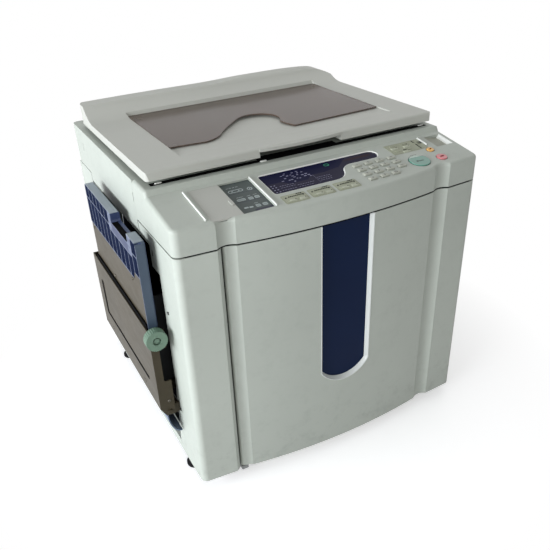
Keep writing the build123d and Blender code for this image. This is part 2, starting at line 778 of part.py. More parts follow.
def cover_side():
    """The cover's (y, z) outline, seen from the side."""
    low, top, crest = cover_low_z, cover_plate_z, hump_z
    front, back = cover_front_y, cover_back_y
    return [
        Line((front, low), (front + 2, top - 5)),
        ThreePointArc((front + 2, top - 5), (front + 3.6, top - 1.5), (front + 7.5, top)),
        Line((front + 7.5, top), (hump_start_y, top - 1.2)),
        ThreePointArc((hump_start_y, top - 1.2), (hump_start_y + 34, top + 5), (hump_start_y + 60, crest - 11)),
        ThreePointArc((hump_start_y + 60, crest - 11), (back - 30, crest), (back - 8, crest - 9)),
        ThreePointArc((back - 8, crest - 9), (back - 2, crest - 15), (back, crest - 24)),
        Line((back, crest - 24), (back, low)),
        Line((back, low), (front, low)),
    ]


def crest_outline():
    """The (x, z) line of the hump's top: higher behind the hinges' right half, round at its right end."""
    left, right = -cover_half - 1, cover_half + 1
    top = hump_left_z
    heights = [(0.1, top), (0.35, top + 0.4), (0.53, top + 0.9), (0.66, top + 5.8), (0.8, top + 4)]
    heights += [(0.9, top), (0.97, top - 7.5)]
    points = [(left, top - 1)] + [(left + (right - left) * part, z) for part, z in heights]
    points.append((right, top - 17))
    return [
        Spline(*points),
        Line((right, top - 17), (right, 0)),
        Line((right, 0), (left, 0)),
        Line((left, 0), (left, top - 1)),
    ]


def cover_body():
    """The cover's outer form: its side outline cut to a plan with rounded corners and to its crest."""
    with BuildSketch(Plane.YZ.offset(-cover_half)) as profile:
        with BuildLine():
            cover_side()
        make_face()
    extrude(profile.sketch, amount=2 * cover_half)
    with BuildSketch(Plane.XY.offset(cover_low_z - 10)) as plan:
        with Locations((0, (cover_front_y + cover_back_y) / 2)):
            Rectangle(2 * cover_half, cover_back_y - cover_front_y)
        fillet(plan.vertices().group_by(Axis.Y)[-1], 30)
        fillet(plan.vertices().group_by(Axis.Y)[0], 9)
    extrude(plan.sketch, amount=80, mode=Mode.INTERSECT)
    with BuildSketch(Plane.XZ.offset(-cover_front_y + 20)) as crest:
        with BuildLine():
            crest_outline()
        make_face()
    extrude(crest.sketch, amount=cover_front_y - cover_back_y - 40, mode=Mode.INTERSECT)


def pocket_points():
    """The (y, z) outline of the document pocket: a floor that rises to the front."""
    front, back = pocket_y
    return [
        (front, cover_plate_z + 0.2),
        (front + 40, cover_plate_z - smoked_thick - 1.2),
        (back, cover_plate_z - pocket_depth),
        (back + pocket_slope, hump_z + 2),
        (back + pocket_slope, hump_z + 30),
        (front, hump_z + 30),
    ]


with BuildPart() as platen_cover:
    cover_body()
    x_prism(pocket_points(), pocket_x[0], pocket_x[1], Mode.SUBTRACT)
    for x in (pocket_x[0] + 18, pocket_x[1] - 18):
        for y in (-62.0, pocket_y[1] - 28):
            top = cover_plate_z - smoked_drop - smoked_thick
            rod("z", (x, y), 5, cover_plate_z - pocket_depth - 1, top)
    with BuildSketch(Plane.XY.offset(cover_low_z + grip_height)) as brow:
        with BuildLine():
            ThreePointArc(
                (-grip_half, cover_front_y + 1), (0, cover_front_y - grip_bow), (grip_half, cover_front_y + 1)
            )
            Line((grip_half, cover_front_y + 1), (grip_half, cover_front_y + 8))
            Line((grip_half, cover_front_y + 8), (-grip_half, cover_front_y + 8))
            Line((-grip_half, cover_front_y + 8), (-grip_half, cover_front_y + 1))
        make_face()
    extrude(brow.sketch, amount=cover_plate_z - cover_low_z - grip_height - 1.5)
    block(
        (-grip_half, cover_front_y - 10, cover_low_z - 1),
        (grip_half, cover_front_y + 32, cover_low_z + grip_height),
        Mode.SUBTRACT,
    )
    arm_gap, arm_wide = cover_lug_half + clear, 4.0
    for place in cover_hinge_places:
        block(
            (place - arm_gap - 8, cover_back_y - 16, cover_low_z - 1),
            (place + arm_gap + 8, cover_back_y + 1, hump_z - 14),
            Mode.SUBTRACT,
        )
        for way in (-1, 1):
            inner_x = place + way * arm_gap
            outer_x = place + way * (arm_gap + arm_wide)
            low_x, high_x = min(inner_x, outer_x), max(inner_x, outer_x)
            block((low_x, cover_pin_y - 7, cover_low_z - 1), (high_x, cover_back_y - 1, hump_z - 8))
        bore = cover_pin_radius + running
        rod("x", (cover_pin_y, cover_pin_z), bore, place - 30, place + 30, Mode.SUBTRACT)
platen_cover.part.label = "platen_cover"
export_step(platen_cover.part, "parts/platen_cover.step")

# White backing mat under the cover
with BuildPart() as original_mat:
    mat_low = (pocket_x[0] - 2, glass_low[1] - 8, top_z + 0.4)
    block(mat_low, (pocket_x[1] - 20, pocket_y[1] + 12, cover_low_z))
original_mat.part.label = "original_mat"
export_step(original_mat.part, "parts/original_mat.step")

# Smoked plate over the document pocket, with its wavy front edge
with BuildPart() as smoked_window:
    with BuildSketch(Plane.XY.offset(cover_plate_z - smoked_drop - smoked_thick)) as plate_shape:
        with BuildLine():
            left, right = pocket_x[0] + clear, pocket_x[1] - 3
            back = pocket_y[1] - 2
            Line((left, back), (right, back))
            Line((right, back), (right, -80))
            Line((right, -80), (38, -92))
            ThreePointArc((38, -92), (31, -70), (29, -45))
            ThreePointArc((29, -45), (14, 25), (-33, 21))
            ThreePointArc((-33, 21), (-72, -16), (-101, -48))
            ThreePointArc((-101, -48), (-122, -72), (-149, -84))
            Line((-149, -84), (left, -76))
            Line((left, -76), (left, back))
        make_face()
    extrude(plate_shape.sketch, amount=smoked_thick)
smoked_window.part.label = "smoked_window"
export_step(smoked_window.part, "parts/smoked_window.step")

# Hinge pins: two for the cover, two for the door
door_z = (skirt_z, seam_z)
with BuildPart() as hinge_pins:
    for place in cover_hinge_places:
        rod("x", (cover_pin_y, cover_pin_z), cover_pin_radius, place - 15, place + 15)
    rod("z", (door_pin_x, door_pin_y), door_pin_radius, ear_z[0] + 0.5, door_z[0] + 20)
    rod("z", (door_pin_x, door_pin_y), door_pin_radius, door_z[1] - 20, panel_low_z + 12)
hinge_pins.part.label = "hinge_pins"
export_step(hinge_pins.part, "parts/hinge_pins.step")

# Front door: a bowed shell hinged at its left edge
door_right_x = half - 2.4
door_back_y = pan_front_y - 3.6
badge_x = 4.6
badge_half = 55.0
badge_arc_z = 206.0
badge_low_z = 176.0
badge_wall = 1.5
badge_depth = 9.0
badge_slant = 4.4
badge_thick = 2.0


def badge_outline(grow=0.0, top=0.0):
    """The badge's (x, z) outline: straight sides and a rounded foot."""
    reach = badge_half + grow
    left, right = badge_x - reach, badge_x + reach
    high = door_z[1] + top
    return [
        Line((left, high), (right, high)),
        Line((right, high), (right, badge_arc_z)),
        ThreePointArc((right, badge_arc_z), (badge_x, badge_low_z - grow), (left, badge_arc_z)),
        Line((left, badge_arc_z), (left, high)),
    ]


def badge_prism(grow, top, start, end, mode=Mode.ADD):
    """The badge's outline carried from one depth to another."""
    with BuildSketch(Plane.XZ.offset(-start)) as outline:
        with BuildLine():
            badge_outline(grow, top)
        make_face()
    extrude(outline.sketch, amount=start - end, mode=mode)


badge_face_y = front_face - door_bow
badge_floor_y = badge_face_y + badge_depth
badge_back_y = badge_floor_y + badge_thick + badge_wall

with BuildPart() as front_door:
    cabinet_slice(door_back_y, door_z[0], door_z[1])
    block((-half - 1, -400, 0), (door_pin_x, 0, top_z), Mode.SUBTRACT)
    block((door_right_x, -400, 0), (half + 1, 0, top_z), Mode.SUBTRACT)
    with BuildSketch(Plane.XY.offset(door_z[0] + skin)) as door_space:
        with BuildLine():
            front_outline(door_back_y + 40, skin)
        make_face()
        with Locations(((door_pin_x + hinge_radius + 2 + door_right_x - skin) / 2, -300)):
            Rectangle(door_right_x - skin - door_pin_x - hinge_radius - 2, 160, mode=Mode.INTERSECT)
    extrude(door_space.sketch, amount=door_z[1] - door_z[0] - 2 * skin, mode=Mode.SUBTRACT)
    block(
        (door_pin_x, door_pin_y, door_z[0] - 1),
        (door_pin_x + hinge_radius + 2, door_back_y + 1, door_z[1] + 1),
        Mode.SUBTRACT,
    )
    rod("z", (door_pin_x, door_pin_y), hinge_radius, door_z[0], door_z[1])
    block(
        (door_pin_x, door_pin_y - hinge_radius, door_z[0]),
        (door_pin_x + hinge_radius + 4, door_pin_y, door_z[1]),
    )
    bore = door_pin_radius + running
    rod("z", (door_pin_x, door_pin_y), bore, door_z[0] - 1, door_z[0] + 21, Mode.SUBTRACT)
    rod("z", (door_pin_x, door_pin_y), bore, door_z[1] - 21, door_z[1] + 1, Mode.SUBTRACT)
    badge_prism(badge_wall + fit, 2, badge_face_y - 5, badge_back_y + 6, Mode.SUBTRACT)
    grip_z = (480.0, 501.0)
    block((door_right_x - 8, -400, grip_z[0]), (half, front_face + 8, grip_z[1]), Mode.SUBTRACT)
front_door.part.label = "front_door"
export_step(front_door.part, "parts/front_door.step")

# Badge tray, with slanted walls, and the blue plate on its floor
with BuildPart() as badge_bezel:
    cabinet_slice(door_back_y, door_z[0], door_z[1], -0.6)
    badge_prism(badge_wall, 0, badge_face_y - 6, badge_back_y, Mode.INTERSECT)
    slant = degrees(atan(badge_slant / badge_depth))
    with BuildSketch(Plane.XZ.offset(-badge_face_y + 2)) as funnel:
        with BuildLine():
            badge_outline(2 * badge_slant / badge_depth, 30)
        make_face()
    extrude(funnel.sketch, amount=-badge_depth - 2, taper=slant, mode=Mode.SUBTRACT)
    badge_prism(-badge_slant, 30, badge_floor_y - 1, badge_floor_y + badge_thick, Mode.SUBTRACT)
badge_bezel.part.label = "badge_bezel"
export_step(badge_bezel.part, "parts/badge_bezel.step")

with BuildPart() as badge_plate:
    badge_prism(-badge_slant - running, -0.4, badge_floor_y, badge_floor_y + badge_thick)
badge_plate.part.label = "badge_plate"
export_step(badge_plate.part, "parts/badge_plate.step")

# Drum carrier: the fixed tube, its front plate and the pull handle
carrier_front_y = front_frame_y - 4
carrier_back_y = rear_frame_y - 60
handle_z = drum_z + 66
with BuildPart() as drum_carrier:
    rod("y", (drum_x, drum_z), carrier_hole + 8, carrier_front_y, front_frame_y)
    rod("y", (drum_x, drum_z), carrier_radius, front_frame_y, carrier_back_y)
    rod("y", (drum_x, drum_z), spindle_radius, carrier_back_y, rear_frame_y + plate + 4)
    rod("y", (drum_x, drum_z), carrier_radius - 3, carrier_front_y - 1, carrier_back_y - 4, Mode.SUBTRACT)
    for way in (-1, 1):
        post_x = drum_x + way * 70
        block(
            (post_x - 7, carrier_front_y - 26, handle_z - 6),
            (post_x + 7, carrier_front_y, handle_z + 6),
        )
    rod("x", (carrier_front_y - 24, handle_z), 8, drum_x - 80, drum_x + 80)
drum_carrier.part.label = "drum_carrier"
export_step(drum_carrier.part, "parts/drum_carrier.step")

# Print drum: a thin screen cylinder between two flanged rings that run on the tube
drum_start_y = front_frame_y + 26
drum_end_y = carrier_back_y - 20
with BuildPart() as print_drum:
    rod("y", (drum_x, drum_z), drum_radius, drum_start_y, drum_end_y)
    rod("y", (drum_x, drum_z), drum_radius - 2, drum_start_y + 8, drum_end_y - 8, Mode.SUBTRACT)
    rod("y", (drum_x, drum_z), carrier_radius + running, drum_start_y - 1, drum_end_y + 1, Mode.SUBTRACT)
    for end in (drum_start_y, drum_end_y - 8):
        rod("y", (drum_x, drum_z), drum_radius + 1, end, end + 8)
        rod("y", (drum_x, drum_z), carrier_radius + running, end - 1, end + 9, Mode.SUBTRACT)
print_drum.part.label = "print_drum"
export_step(print_drum.part, "parts/print_drum.step")

# Ink cartridge: a round bottle in the drum's tube, with a ribbed cap
ink_radius = carrier_radius - 3 - clear
bottle_waist = 9.0
with BuildPart() as ink_cartridge:
    bottle_end = carrier_back_y - 40
    rod("y", (drum_x, drum_z), ink_radius - bottle_waist, carrier_front_y - 4, bottle_end)
    for start, end in ((carrier_front_y - 4, drum_start_y - 6), (bottle_end - 20, bottle_end)):
        rod("y", (drum_x, drum_z), ink_radius, start, end)
    rod("y", (drum_x, drum_z), ink_radius + 4, carrier_front_y - 26, carrier_front_y - 0.5)
    for n in range(12):
        turn = radians(n * 30)
        spot = (drum_x + (ink_radius + 5) * cos(turn), drum_z + (ink_radius + 5) * sin(turn))
        rod("y", spot, 3, carrier_front_y - 30, carrier_front_y - 8, Mode.SUBTRACT)
    block(
        (drum_x - 28, carrier_front_y - 38, drum_z - 5),
        (drum_x + 28, carrier_front_y - 20, drum_z + 5),
    )
ink_cartridge.part.label = "ink_cartridge"
export_step(ink_cartridge.part, "parts/ink_cartridge.step")

# Pressure roller under the drum
with BuildPart() as pressure_roller:
    rod("y", (drum_x, press_z), press_radius, drum_start_y + 8, drum_end_y - 8)
    rod("y", (drum_x, press_z), press_journal, front_frame_y - 4, rear_frame_y + plate + 4)
pressure_roller.part.label = "pressure_roller"
export_step(pressure_roller.part, "parts/pressure_roller.step")

# Pickup roller over the paper stack
with BuildPart() as pickup_roller:
    rod("y", (pickup_x, pickup_z), pickup_radius, feed_y - 30, feed_y + 30)
    rod("y", (pickup_x, pickup_z), pickup_shaft, front_frame_y - 3, rear_frame_y + plate + 3)
pickup_roller.part.label = "pickup_roller"
export_step(pickup_roller.part, "parts/pickup_roller.step")

# Master-making unit: a drawer body with a handle, in its opening in the front frame
with BuildPart() as master_unit:
    master_front_y = front_frame_y - 14
    block((master_low[0], master_front_y, master_low[1]), (master_high[0], feed_y + 150, master_high[1]))
    block(
        (master_low[0] + 20, master_front_y - 1, master_low[1] + 45),
        (master_high[0] - 20, master_front_y + 9, master_low[1] + 75),
        Mode.SUBTRACT,
    )
    rod(
        "x",
        (master_front_y + 2, master_low[1] + 68),
        5,
        master_low[0] + 19,
        master_high[0] - 19,
    )
master_unit.part.label = "master_unit"
export_step(master_unit.part, "parts/master_unit.step")

# Tray elevator: the shaft the feed tray folds on, its arms and its rear guides
shaft_radius = 5.0
frame_front_y = -235.0
frame_back_y = body_back - 161
sheet = 2.0
with BuildPart() as tray_elevator:
    rod("y", (tray_hinge_x, tray_hinge_z), shaft_radius, frame_front_y - 3, frame_back_y + 3)
    arm_low_z = tray_hinge_z + 9 - arm_thick
    for place in arm_places:
        shape = [
            (tray_hinge_x - 4, tray_hinge_z - 6),
            (tray_hinge_x - 4, tray_hinge_z + 6),
            (tray_hinge_x + 12, tray_hinge_z + 9),
            (frame_left_x + 24, tray_hinge_z + 9),
            (frame_left_x + 24, arm_low_z),
            (tray_hinge_x + 22, arm_low_z),
        ]
        y_prism(shape, place - arm_width / 2, place + arm_width / 2)
    block(
        (-half + 8, arm_places[0], arm_low_z),
        (-half + 24, arm_places[1], tray_hinge_z + 9),
    )
    web_y = (frame_front_y + sheet + 5, frame_front_y + sheet + 11)
    front_web = [
        (tray_hinge_x - 6, tray_hinge_z - 7),
        (tray_hinge_x - 6, tray_hinge_z + 7),
        (-half - 1, tray_hinge_z + 9),
        (-half - 1, arm_low_z),
        (tray_hinge_x + 10, arm_low_z),
    ]
    y_prism(front_web, *web_y)
    block((-half - 6, web_y[0], arm_low_z), (-half - 1, arm_places[0], tray_hinge_z + 4))
tray_elevator.part.label = "tray_elevator"
export_step(tray_elevator.part, "parts/tray_elevator.step")

# Feed tray frame: a folded steel channel with a window in its front wall
frame_low_z = tray_hinge_z + 11
frame_high_z = frame_low_z + tray_frame_height
frame_inner_x = tray_outer_x + 29.5
deck_x = -half - 36.0
dial_place = (-half - 32.0, 343.9)
dial_shaft = 4.0
with BuildPart() as feed_tray_frame:
    block(
        (tray_outer_x, frame_front_y, frame_low_z),
        (tray_outer_x + sheet, frame_back_y, frame_high_z),
    )
    side_shape = [
        (tray_outer_x, frame_high_z),
        (tray_outer_x, frame_low_z),
        (tray_hinge_x - 8, tray_hinge_z - 8),
        (frame_inner_x, tray_hinge_z - 8),
        (frame_inner_x, frame_high_z),
    ]
    for y in (frame_front_y, frame_back_y - sheet):
        y_prism(side_shape, y, y + sheet)
    for z in (frame_low_z + 30, frame_high_z - 30):
        block(
            (tray_outer_x + sheet, frame_front_y + sheet, z - 6),
            (deck_x - clear, frame_back_y - sheet, z + 6),
        )
    block(
        (tray_outer_x, frame_front_y, frame_low_z - 1),
        (tray_outer_x + 14, frame_back_y, frame_low_z + 1),
    )
    bore = shaft_radius + running
    rod("y", (tray_hinge_x, tray_hinge_z), bore, frame_front_y - 5, frame_back_y + 5, Mode.SUBTRACT)
    rod("y", dial_place, dial_shaft + running, frame_front_y - 5, frame_front_y + 5, Mode.SUBTRACT)
    with BuildSketch(Plane.XZ.offset(-frame_front_y + 1)) as window:
        with Locations((frame_inner_x - 2, 275)):
            RectangleRounded(24, 76, 5)
    extrude(window.sketch, amount=-6, mode=Mode.SUBTRACT)
    slit = 4.5
    fold_y = frame_back_y - 47
    fold_z = frame_low_z + 44
    depth = (tray_outer_x - 1, tray_outer_x + sheet + 1)
    block((depth[0], fold_y, fold_z), (depth[1], fold_y + slit, 303), Mode.SUBTRACT)
    block((depth[0], -185, fold_z), (depth[1], fold_y + slit, fold_z + slit), Mode.SUBTRACT)
    for y in (fold_y - 26, -154):
        rod("x", (y, frame_low_z + 16), 2.2, *depth, Mode.SUBTRACT)
        block((depth[0], y + 3, frame_low_z + 17), (depth[1], y + 10, frame_low_z + 19.5), Mode.SUBTRACT)
feed_tray_frame.part.label = "feed_tray_frame"
export_step(feed_tray_frame.part, "parts/feed_tray_frame.step")

# Feed tray plate: the steel deck that the paper lies on
band_low_z = 443.0
band_step_z = 459.0
band_step_y = -190.0
post_lip = 2.0
with BuildPart() as feed_tray_plate:
    plate_front_y = extension_front_y + post_lip + clear
    x_prism(
        [
            (plate_front_y, frame_low_z + 5),
            (extension_back_y, frame_low_z + 5),
            (extension_back_y, band_low_z),
            (band_step_y + 8, band_low_z),
            (band_step_y, band_step_z),
            (plate_front_y, band_step_z),
        ],
        deck_x,
        deck_x + sheet,
    )
    shaft_low_z, shaft_high_z = dial_place[1] - dial_shaft - 1.5, dial_place[1] + dial_shaft + 1.5
    block(
        (deck_x - 1, plate_front_y - 1, shaft_low_z),
        (deck_x + sheet + 1, plate_front_y + 6, shaft_high_z),
        Mode.SUBTRACT,
    )
feed_tray_plate.part.label = "feed_tray_plate"
export_step(feed_tray_plate.part, "parts/feed_tray_plate.step")

# Blue tray extension: a ribbed moulding across the top and down both sides
extension_outer_x = deck_x - 1.0
extension_inner_x = -half - 18.0
wall_y = 15.0
rib = 2.0
cell_split_z = 499.0
notch = (-177.0, -76.0, 511.0)
with BuildPart() as feed_tray_extension:
    post_low_z = frame_high_z + 2
    back_x = deck_x + sheet
    across_y = extension_back_y - extension_front_y
    with BuildSketch(Plane.YZ.offset(extension_outer_x)) as face:
        with Locations(((extension_front_y + extension_back_y) / 2, (band_low_z - 12 + tray_top_z) / 2)):
            RectangleRounded(across_y, tray_top_z - band_low_z + 12, 9)
        post_height = tray_top_z - 12 - post_low_z
        for y in (extension_front_y + wall_y / 2, extension_back_y - wall_y / 2):
            with Locations((y, post_low_z + post_height / 2)):
                Rectangle(wall_y, post_height)
    extrude(face.sketch, amount=extension_inner_x - extension_outer_x)
    x_prism(
        [
            (extension_front_y + post_lip, post_low_z - 1),
            (extension_back_y + 1, post_low_z - 1),
            (extension_back_y + 1, band_low_z + fit),
            (band_step_y + 8 + fit, band_low_z + fit),
            (band_step_y + fit, band_step_z + fit),
            (extension_front_y + post_lip, band_step_z + fit),
        ],
        extension_outer_x - 1,
        back_x,
        Mode.SUBTRACT,
    )
    cells = 12
    pitch = (extension_back_y - extension_front_y - post_lip) / cells
    cell_back_x = extension_inner_x - rib - 4
    for n in range(cells):
        low_y = extension_front_y + post_lip + n * pitch
        high_y = low_y + pitch - rib
        low_z = (band_step_z if high_y < band_step_y else band_low_z) + rib
        under_notch = low_y < notch[1] + rib and high_y > notch[0] - rib
        rows = ((low_z, cell_split_z - 9),) if under_notch else ((low_z, cell_split_z), (cell_split_z + rib, tray_top_z - rib))
        for floor_z, roof_z in rows:
            with BuildSketch(Plane.YZ.offset(extension_outer_x - 1)) as cell:
                with Locations(((low_y + high_y) / 2, (floor_z + roof_z) / 2)):
                    RectangleRounded(high_y - low_y, roof_z - floor_z, 1.5)
            extrude(cell.sketch, amount=cell_back_x - extension_outer_x + 1, mode=Mode.SUBTRACT)
    with BuildSketch(Plane.YZ.offset(extension_outer_x - 1)) as finger_gap:
        with Locations(((notch[0] + notch[1]) / 2, notch[2] + 20)):
            RectangleRounded(notch[1] - notch[0], 40, 5)
    extrude(finger_gap.sketch, amount=40, mode=Mode.SUBTRACT)
    rim = feed_tray_extension.edges().filter_by(Axis.Y).filter_by(
        lambda e: e.center().Z > tray_top_z - 1 and e.center().X > extension_inner_x - 1
    )
    fillet(rim, 4)
feed_tray_extension.part.label = "feed_tray_extension"
export_step(feed_tray_extension.part, "parts/feed_tray_extension.step")

# Print position dial
dial_radius = 20.5
dial_width = 17.0
with BuildPart() as position_dial:
    dial_back_y = frame_front_y - 1
    with BuildSketch(Plane.XZ.offset(-dial_back_y + dial_width)) as dial_face:
        with Locations(dial_place):
            Circle(dial_radius)
        with Locations(dial_place):
            with PolarLocations(dial_radius + 0.6, 30):
                Circle(1.2, mode=Mode.SUBTRACT)
    extrude(dial_face.sketch, amount=-dial_width)
    rod("y", dial_place, 8, dial_back_y - dial_width - 1, dial_back_y - dial_width + 5, Mode.SUBTRACT)
    rod("y", dial_place, dial_shaft, dial_back_y - dial_width + 2, frame_front_y + sheet + 5)
    rod("y", dial_place, 5, dial_back_y - dial_width + 2, dial_back_y - dial_width + 6)
position_dial.part.label = "position_dial"
export_step(position_dial.part, "parts/position_dial.step")

# Paper guides on the inside of the feed tray
guide_height = 44.0
guide_half = (extension_back_y - extension_front_y) / 2 - 38
guide_places = (feed_y - guide_half, feed_y + guide_half)
guide_z = (205.0, 400.0)
for name, place, way in (("paper_guide_front", guide_places[0], 1), ("paper_guide_rear", guide_places[1], -1)):
    with BuildPart() as guide:
        base_x = deck_x + sheet + clear
        block((base_x, place - 2, guide_z[0]), (base_x + guide_height, place + 2, guide_z[1]))
        foot_low, foot_high = sorted((place, place + way * 28))
        block((base_x, foot_low, guide_z[0] + 40), (base_x + 3, foot_high, guide_z[1] - 60))
    guide.part.label = name
    export_step(guide.part, f"parts/{name}.step")

# Receiving tray, folded up on the right
out_deck_x = half + 18.0
out_rim_x = half + 52.5
out_y = (extension_front_y, extension_back_y - 6)
out_low_z = 172.0
out_high_z = 500.0
with BuildPart() as receiving_tray:
    block((out_deck_x, out_y[0], out_low_z), (out_rim_x, out_y[1], out_high_z))
    low = (out_deck_x + 3, out_y[0] + 3, out_low_z + 3)
    block(low, (out_rim_x + 1, out_y[1] - 3, out_high_z - 3), Mode.SUBTRACT)
    for n in range(1, 4):
        y = out_y[0] + n * (out_y[1] - out_y[0]) / 4
        block((out_deck_x, y - 1.2, out_low_z), (out_deck_x + 12, y + 1.2, out_high_z))
    for n in range(1, 3):
        z = out_low_z + n * (out_high_z - out_low_z) / 3
        block((out_deck_x, out_y[0], z - 1.2), (out_deck_x + 12, out_y[1], z + 1.2))
    inner_y = (lug_places[0] + lug_half + clear, lug_places[1] - lug_half - clear)
    rod("y", (out_hinge_x, out_hinge_z), 9, *inner_y)
    block((out_hinge_x, inner_y[0], out_hinge_z - 9), (out_deck_x + 10, inner_y[1], out_low_z + 3))
    rod("y", (out_hinge_x, out_hinge_z), out_pin, lug_places[0] - 8, lug_places[1] + 8)
receiving_tray.part.label = "receiving_tray"
export_step(receiving_tray.part, "parts/receiving_tray.step")

# Receiving tray's side fences and end stop, folded flat against it
fence_x = (out_deck_x - 7.5, out_deck_x - clear)
fence_width = 40.0
fence_z = (188.0, 470.0)
fence_ends = (out_y[0] + 15, out_y[1] - 15 - fence_width)
for name, low_y in zip(("receiving_fence_front", "receiving_fence_rear"), fence_ends):
    with BuildPart() as fence:
        block((fence_x[0], low_y, fence_z[0]), (fence_x[1], low_y + fence_width, fence_z[1]))
        block(
            (fence_x[0] - 1, low_y + 6, fence_z[0] + 10),
            (fence_x[0] + 4, low_y + fence_width - 6, fence_z[1] - 10),
            Mode.SUBTRACT,
        )
    fence.part.label = name
    export_step(fence.part, f"parts/{name}.step")

with BuildPart() as paper_stop:
    block((fence_x[0], feed_y - 30, 430), (fence_x[1], feed_y + 30, 484))
    block((fence_x[0] - 1, feed_y - 24, 436), (fence_x[0] + 4, feed_y + 24, 478), Mode.SUBTRACT)
paper_stop.part.label = "paper_stop"
export_step(paper_stop.part, "parts/paper_stop.step")
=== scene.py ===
"""Looks for a digital duplicator: finishes for its CAD pieces, the small printed, moulded and fastened
details that lie on them, and strips of painted highlight and shade. All sizes are metres in the CAD
frame: +X to the user's right, +Y to the back, +Z up, origin on the floor under the middle."""

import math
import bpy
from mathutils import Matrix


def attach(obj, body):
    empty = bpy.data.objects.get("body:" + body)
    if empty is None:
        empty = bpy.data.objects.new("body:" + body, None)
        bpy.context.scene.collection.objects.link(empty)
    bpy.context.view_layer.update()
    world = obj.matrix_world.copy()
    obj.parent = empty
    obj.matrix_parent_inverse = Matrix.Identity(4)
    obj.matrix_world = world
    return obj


bl_info = {
    "name": "Digital duplicator looks",
    "version": (1, 0, 0),
    "blender": (4, 5, 0),
    "location": "View3D > Sidebar > Duplicator",
    "description": "Finishes and small parts for a drum duplicator with a scanner on top",
    "category": "Object",
}

import bpy
import numpy as np
from bpy.props import FloatProperty, FloatVectorProperty, PointerProperty
from mathutils import Matrix, Vector

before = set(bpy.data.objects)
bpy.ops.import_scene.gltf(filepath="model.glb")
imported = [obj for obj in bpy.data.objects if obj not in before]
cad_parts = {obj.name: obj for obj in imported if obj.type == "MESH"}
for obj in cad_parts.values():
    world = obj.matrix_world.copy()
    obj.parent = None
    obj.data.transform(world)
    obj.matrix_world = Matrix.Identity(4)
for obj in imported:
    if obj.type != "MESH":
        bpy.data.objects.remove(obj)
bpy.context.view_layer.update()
MM = 0.001
HALF_TURN = math.pi
# The way that the cabinet's left side faces, and the height of the scanner's table
LEFT = (-1, 0, 0)
TABLE_Z = 0.6026


# Shader maths


class Number:
    """An output of a node. Expressions on a number add Math nodes."""

    def __init__(self, nodes, socket):
        self.nodes, self.socket = nodes, socket

    def math(self, operation, *others):
        sockets = {0: self, **dict(enumerate(others, 1))}
        return self.nodes.node("ShaderNodeMath", {"operation": operation}, sockets)["Value"]

    def __add__(self, other):
        return self.math("ADD", other)

    def __sub__(self, other):
        return self.math("SUBTRACT", other)

    def __mul__(self, other):
        return self.math("MULTIPLY", other)

    def __truediv__(self, other):
        return self.math("DIVIDE", other)

    def __rsub__(self, other):
        return (self * -1.0) + other

    __radd__, __rmul__ = __add__, __mul__

    def above(self, edge):
        return self.math("GREATER_THAN", edge)

    def below(self, edge):
        return self.math("LESS_THAN", edge)

    def size(self):
        return self.math("ABSOLUTE")

    def clamped(self):
        return self.math("MAXIMUM", 0.0).math("MINIMUM", 1.0)

    def fade(self, low, high):
        """0 at low and 1 at high, with a straight run between."""
        return ((self - low) / (high - low)).clamped()


class Nodes:
    """A node tree whose nodes all come from one method."""

    def __init__(self, tree):
        self.tree = tree
        self.tree.nodes.clear()

    def node(self, kind, settings=None, sockets=None):
        """Adds a node, its settings first, and then its sockets' values or links."""
        made = self.tree.nodes.new(kind)
        for key, value in (settings or {}).items():
            setattr(made, key, value)
        for key, value in (sockets or {}).items():
            socket = made.inputs[key]
            if isinstance(value, Number):
                value = value.socket
            if isinstance(value, bpy.types.NodeSocket):
                self.tree.links.new(value, socket)
            else:
                socket.default_value = value
        return {output.name: Number(self, output) for output in made.outputs if output.enabled}

    def seen(self):
        """1 for rays from the camera, off a gloss or through a clear sheet, and 0 for others."""
        path = self.node("ShaderNodeLightPath")
        bright = path["Is Camera Ray"].math("MAXIMUM", path["Is Glossy Ray"])
        return bright.math("MAXIMUM", path["Is Transmission Ray"])


class Finish(Nodes):
    """One material: its node tree, the points that its patterns read, and its shader."""

    def __init__(self, name):
        self.material = bpy.data.materials.new(name)
        self.material.use_nodes = True
        super().__init__(self.material.node_tree)
        self.points = self.node("ShaderNodeTexCoord")["Object"].socket

    def xyz(self):
        split = self.node("ShaderNodeSeparateXYZ", None, {"Vector": self.points})
        return split["X"], split["Y"], split["Z"]

    def noise(self, scale, detail=2.0, roughness=0.5, points=None):
        sockets = {"Vector": points or self.points, "Scale": scale}
        sockets.update({"Detail": detail, "Roughness": roughness})
        return self.node("ShaderNodeTexNoise", None, sockets)["Fac"]

    def stretched(self, x=1.0, y=1.0, z=1.0):
        """The object's points, scaled along each axis, for brushed and rolled surfaces."""
        sockets = {0: self.points, 1: (x, y, z)}
        return self.node("ShaderNodeVectorMath", {"operation": "MULTIPLY"}, sockets)["Vector"].socket

    def mix(self, factor, first, second):
        """first where factor is 0 and second where it is 1, for colours."""
        sockets = {"Factor": factor, 6: first, 7: second}
        made = self.node("ShaderNodeMix", {"data_type": "RGBA"}, sockets)
        return made["Result"].socket

    def bump(self, height, depth, soften=0.0):
        """A normal bent by height, whose full swing is depth, over edges rounded by soften."""
        sockets = {"Height": height, "Distance": depth, "Strength": 1.0}
        if soften:
            rounded = self.node("ShaderNodeBevel", {"samples": 4}, {"Radius": soften})
            sockets["Normal"] = rounded["Normal"]
        return self.node("ShaderNodeBump", None, sockets)["Normal"]

    def shade(self, **sockets):
        """Joins a Principled shader with these sockets, whose names have _ for a space."""
        named = {key.replace("_", " "): value for key, value in sockets.items()}
        shader = self.node("ShaderNodeBsdfPrincipled", None, named)
        return self.surface(shader["BSDF"])

    def surface(self, shader):
        """Makes a shader the material's surface."""
        self.node("ShaderNodeOutputMaterial", None, {"Surface": shader})
        return self.material


